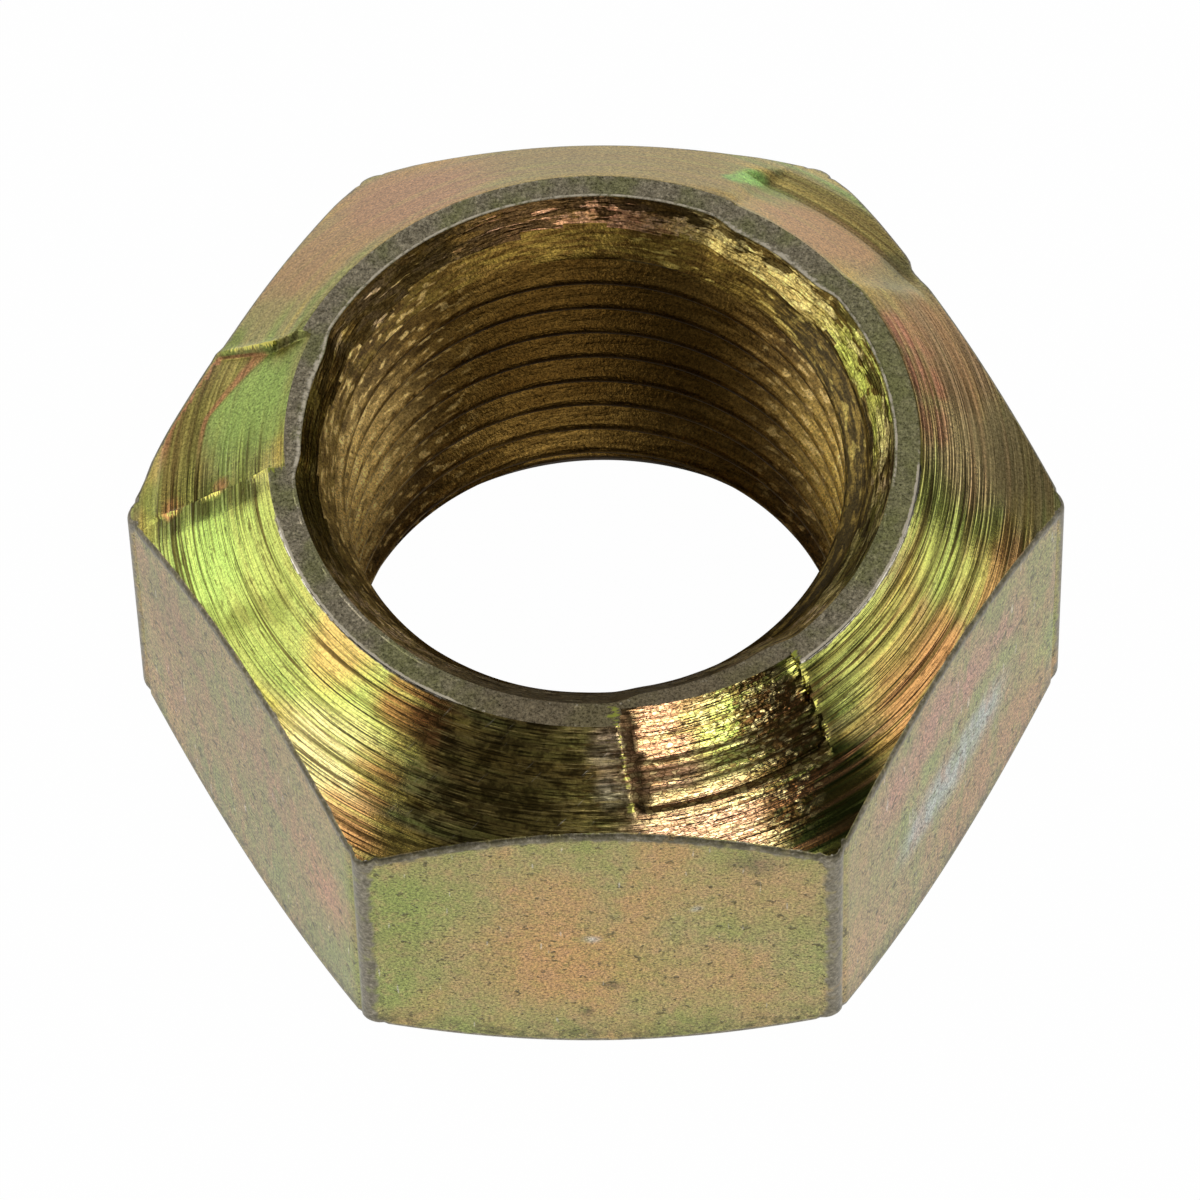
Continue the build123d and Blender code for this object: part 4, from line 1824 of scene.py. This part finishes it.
class BackNut:
    """The nut: its mesh, its finishes and its place on the frame."""

    front_mark = PressMark(
        azimuth=-68.5, width=27.5, ring_bite=0.63, crease_run=1.93, facet_run=2.29, depth=0.47,
        near_wall=0.5, far_wall=0.06, ragged=0.05,
        burrs=(
            Burr(-1, 10.2, 0.28, 0.14, 2.2),
            Burr(-1, 12.8, 0.2, 0.1, 1.3),
            Burr(1, 10.4, 0.35, 0.18, 1.5),
            Burr(1, 12.6, 0.2, 0.1),
        ),
        dark=(1.0, 0.4, 1.0), scores=(0.42, 0.68, 0.9, 1.15),
        bite_shift=((-13.0, 0.0), (13.0, 0.2)), slant=(1.3, 3.6),
    )
    right_mark = PressMark(
        azimuth=50.5, width=25.0, ring_bite=0.12, crease_run=2.38, facet_run=3.70, depth=0.38,
        near_wall=1.5, far_wall=1.05, bulge_start=-12.0, bulge_end=9.0, bulge=0.2,
        ragged=0.0, dark=(0.0, 0.1, 0.55), taper=0.05, soft=1.0, heave=0.0,
    )
    left_mark = PressMark(
        azimuth=170.0, width=24.6, ring_bite=0.32, crease_run=2.35, facet_run=3.70, depth=0.34,
        near_wall=0.22, far_wall=0.06, bulge_start=-14.5, bulge_end=7.0, bulge=0.2, ragged=0.01,
        burrs=(
            Burr(-1, 13.1, 0.4, 0.14),
            Burr(1, 10.8, 0.6, 0.12),
            Burr(1, 12.6, 0.4, 0.08),
            Burr(1, 14.0, 0.2, 0.1),
        ),
        dark=(0.8, 0.2, 0.45), bite_shift=((-12.0, -0.05), (12.0, -0.25)),
        crease_shift=((-12.3, -1.5), (-2.0, 0.0)), slant=(3.6, 1.5), far_heave=-0.1,
    )

    def __init__(self) -> None:
        """Take the overall sizes from the frame."""
        low, high = (np.array(corner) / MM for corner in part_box(NODE))
        marks = [self.front_mark, self.right_mark, self.left_mark]
        self.form = NutForm(flats=high[1] - low[1], height=high[2] - low[2], marks=marks)
        self.bore = BoreForm(self.form.height, self.form.ring_inner, self.form.foot_radius)

    def finishes(self) -> dict[Zone, bpy.types.Material]:
        """One material for each kind of surface."""
        flat = FlatFinish().material()
        return {
            Zone.BEARING: flat,
            Zone.FLAT: flat,
            Zone.CONE: TurnedFinish().material(),
            Zone.RING: RingFinish().material(),
            Zone.MOUTH: MouthFinish().material(),
            Zone.THREAD: ThreadFinish().material(),
        }

    def build(self) -> bpy.types.Object:
        """Make, dress and place the nut.

        Returns:
            The finished piece.
        """
        piece = NutMesh(self.form, self.bore).build("nut_body")
        finishes = self.finishes()
        for zone in Zone:
            piece.data.materials.append(finishes[zone])
        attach(piece, "root")
        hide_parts(NODE)
        return piece


@dataclass(frozen=True)
class Camera:
    """The viewpoint. Degrees, and millimetres from the origin along the camera's own axes."""

    elevation: float = 58.36
    turn: float = 1.22
    roll: float = -1.714
    aside: float = 0.047
    drop: float = 3.504
    distance: float = 356.0
    lens: float = 313.25

    def build(self) -> bpy.types.Object:
        """Create the camera and make it the scene's own.

        Returns:
            The camera.
        """
        up = math.radians(self.elevation)
        right = Vector((1, 0, 0))
        forward = Vector((0, math.cos(up), -math.sin(up)))
        down = forward.cross(right)
        basis = Matrix.Rotation(math.radians(self.turn), 3, "Z")
        tilt = math.radians(self.roll)
        axis_right = basis @ (right * math.cos(tilt) - down * math.sin(tilt))
        axis_down = basis @ (right * math.sin(tilt) + down * math.cos(tilt))
        axis_forward = basis @ forward
        away = axis_right * self.aside + axis_down * self.drop + axis_forward * self.distance
        matrix = Matrix.Identity(4)
        for column, axis in enumerate((axis_right, -axis_down, -axis_forward, -away * MM)):
            for row in range(3):
                matrix[row][column] = axis[row]
        data = bpy.data.cameras.new("camera")
        data.lens = self.lens
        data.sensor_width = 36.0
        data.clip_start = 0.01
        data.clip_end = 10.0
        camera = placed("camera", data)
        camera.matrix_world = matrix
        bpy.context.scene.camera = camera
        return camera


@dataclass(frozen=True)
class Softbox:
    """A rectangular lamp that faces the nut.

    Attributes:
        name: The lamp's name.
        azimuth: Direction of its middle, in degrees.
        elevation: Height of its middle above level, in degrees.
        half_width: Half of the angle that it spans sideways.
        half_tall: Half of the angle that it spans upwards.
        brightness: How bright its face is, where a white floor is 1.
        distance: Distance of its middle from the nut, in metres.
    """

    name: str
    azimuth: float
    elevation: float
    half_width: float
    half_tall: float
    brightness: float
    distance: float = 0.6

    def build(self) -> bpy.types.Object:
        """Create the lamp."""
        around = math.radians(self.azimuth)
        up = math.radians(self.elevation)
        toward = Vector((math.cos(around) * math.cos(up), math.sin(around) * math.cos(up), math.sin(up)))
        data = bpy.data.lights.new(self.name, "AREA")
        data.shape = "RECTANGLE"
        data.size = 2 * self.distance * math.tan(math.radians(self.half_width))
        data.size_y = 2 * self.distance * math.tan(math.radians(self.half_tall))
        data.energy = self.brightness * math.pi * data.size * data.size_y
        lamp = placed(self.name, data)
        lamp.location = toward * self.distance
        lamp.rotation_euler = toward.to_track_quat("Z", "Y").to_euler()
        return lamp


class Studio:
    """Pale floor, soft lamps and a quiet surround.

    The floor is white to the camera. To reflections it is dark under the nut as far as shadow_radius, grows
    white by shadow_end, and glows faintly inside the hole, from hole_radius inwards.
    """

    lamps = (
        Softbox("lamp_left", 183.5, 25.0, 32.5, 18.0, 1.5),
        Softbox("lamp_right", -3.0, 25.0, 21.0, 15.0, 1.2),
        Softbox("lamp_front", -68.0, 42.0, 14.0, 10.0, 4.4),
        Softbox("lamp_back", 90.0, 62.0, 26.0, 14.0, 0.4),
        Softbox("lamp_behind", 106.0, 14.0, 42.0, 13.0, 0.45),
    )
    floor_size = 2.0
    floor_gap = 0.01
    floor_glow = 0.99
    surround = 0.1
    hole_radius = 8.2
    hole_core = 7.4
    hole_glow = 0.15
    shadow_radius = 9.0
    shadow_end = 13.4

    def world(self) -> None:
        """Give every direction a soft grey, and show it white to the camera."""
        world = bpy.data.worlds.new("surround")
        world.use_nodes = True
        bpy.context.scene.world = world
        tree = world.node_tree
        background = tree.nodes["Background"]
        path = tree.nodes.new("ShaderNodeLightPath")
        mix = tree.nodes.new("ShaderNodeMix")
        mix.inputs["A"].default_value = self.surround
        mix.inputs["B"].default_value = 1.0
        tree.links.new(path.outputs["Is Camera Ray"], mix.inputs["Factor"])
        tree.links.new(mix.outputs["Result"], background.inputs["Strength"])
        background.inputs["Color"].default_value = (1, 1, 1, 1)

    def floor(self) -> bpy.types.Object:
        """The pale floor: white to the camera and to reflections, but not to those from under the nut."""
        half = self.floor_size / 2
        mesh = bpy.data.meshes.new("floor")
        corners = [(-half, -half, 0), (half, -half, 0), (half, half, 0), (-half, half, 0)]
        mesh.from_pydata(corners, [], [(0, 1, 2, 3)])
        floor = placed("floor", mesh)
        floor.location.z = -self.floor_gap * MM
        graph = Graph("pale_floor")
        camera_ray, glossy_ray, transmission_ray = (
            graph.node("ShaderNodeLightPath", output=name)
            for name in ("Is Camera Ray", "Is Glossy Ray", "Is Transmission Ray")
        )
        _, _, _, radius = graph.polar(graph.place())
        # Painted shadow and glow: reflections see the floor dark under the nut and faintly lit inside the
        # hole.
        in_hole = self.hole_glow * radius.over(self.hole_radius, self.hole_core)
        lit = radius.over(self.shadow_radius, self.shadow_end) + in_hole
        seen = camera_ray + transmission_ray + glossy_ray * lit
        seen = seen.math("MINIMUM", seen, 1.0)
        diffuse = graph.node("ShaderNodeBsdfDiffuse", None, {"Color": (0.82, 0.82, 0.82, 1)})
        glow = graph.node("ShaderNodeEmission", None, {"Color": (1, 1, 1, 1), "Strength": 1.0})
        mix = graph.node("ShaderNodeMixShader", None, {0: seen * self.floor_glow, 1: diffuse, 2: glow})
        graph.tree.links.new(mix.socket, graph.output.inputs[0])
        mesh.materials.append(graph.material)
        return floor

    def build(self) -> None:
        """Set up the surround, floor and lamps."""
        self.world()
        for piece in [self.floor(), *(lamp.build() for lamp in self.lamps)]:
            LOG.info("built %s", piece.name)
        bpy.context.scene.view_settings.view_transform = "Standard"


def main() -> None:
    """Build the nut, then the studio round it."""
    logging.basicConfig(level=logging.INFO, format="%(name)s: %(message)s")
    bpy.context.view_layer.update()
    nut = BackNut().build()
    LOG.info("built %s", nut.name)
    Studio().build()
    camera = Camera().build()
    LOG.info("built %s", camera.name)


if __name__ == "__main__":
    main()
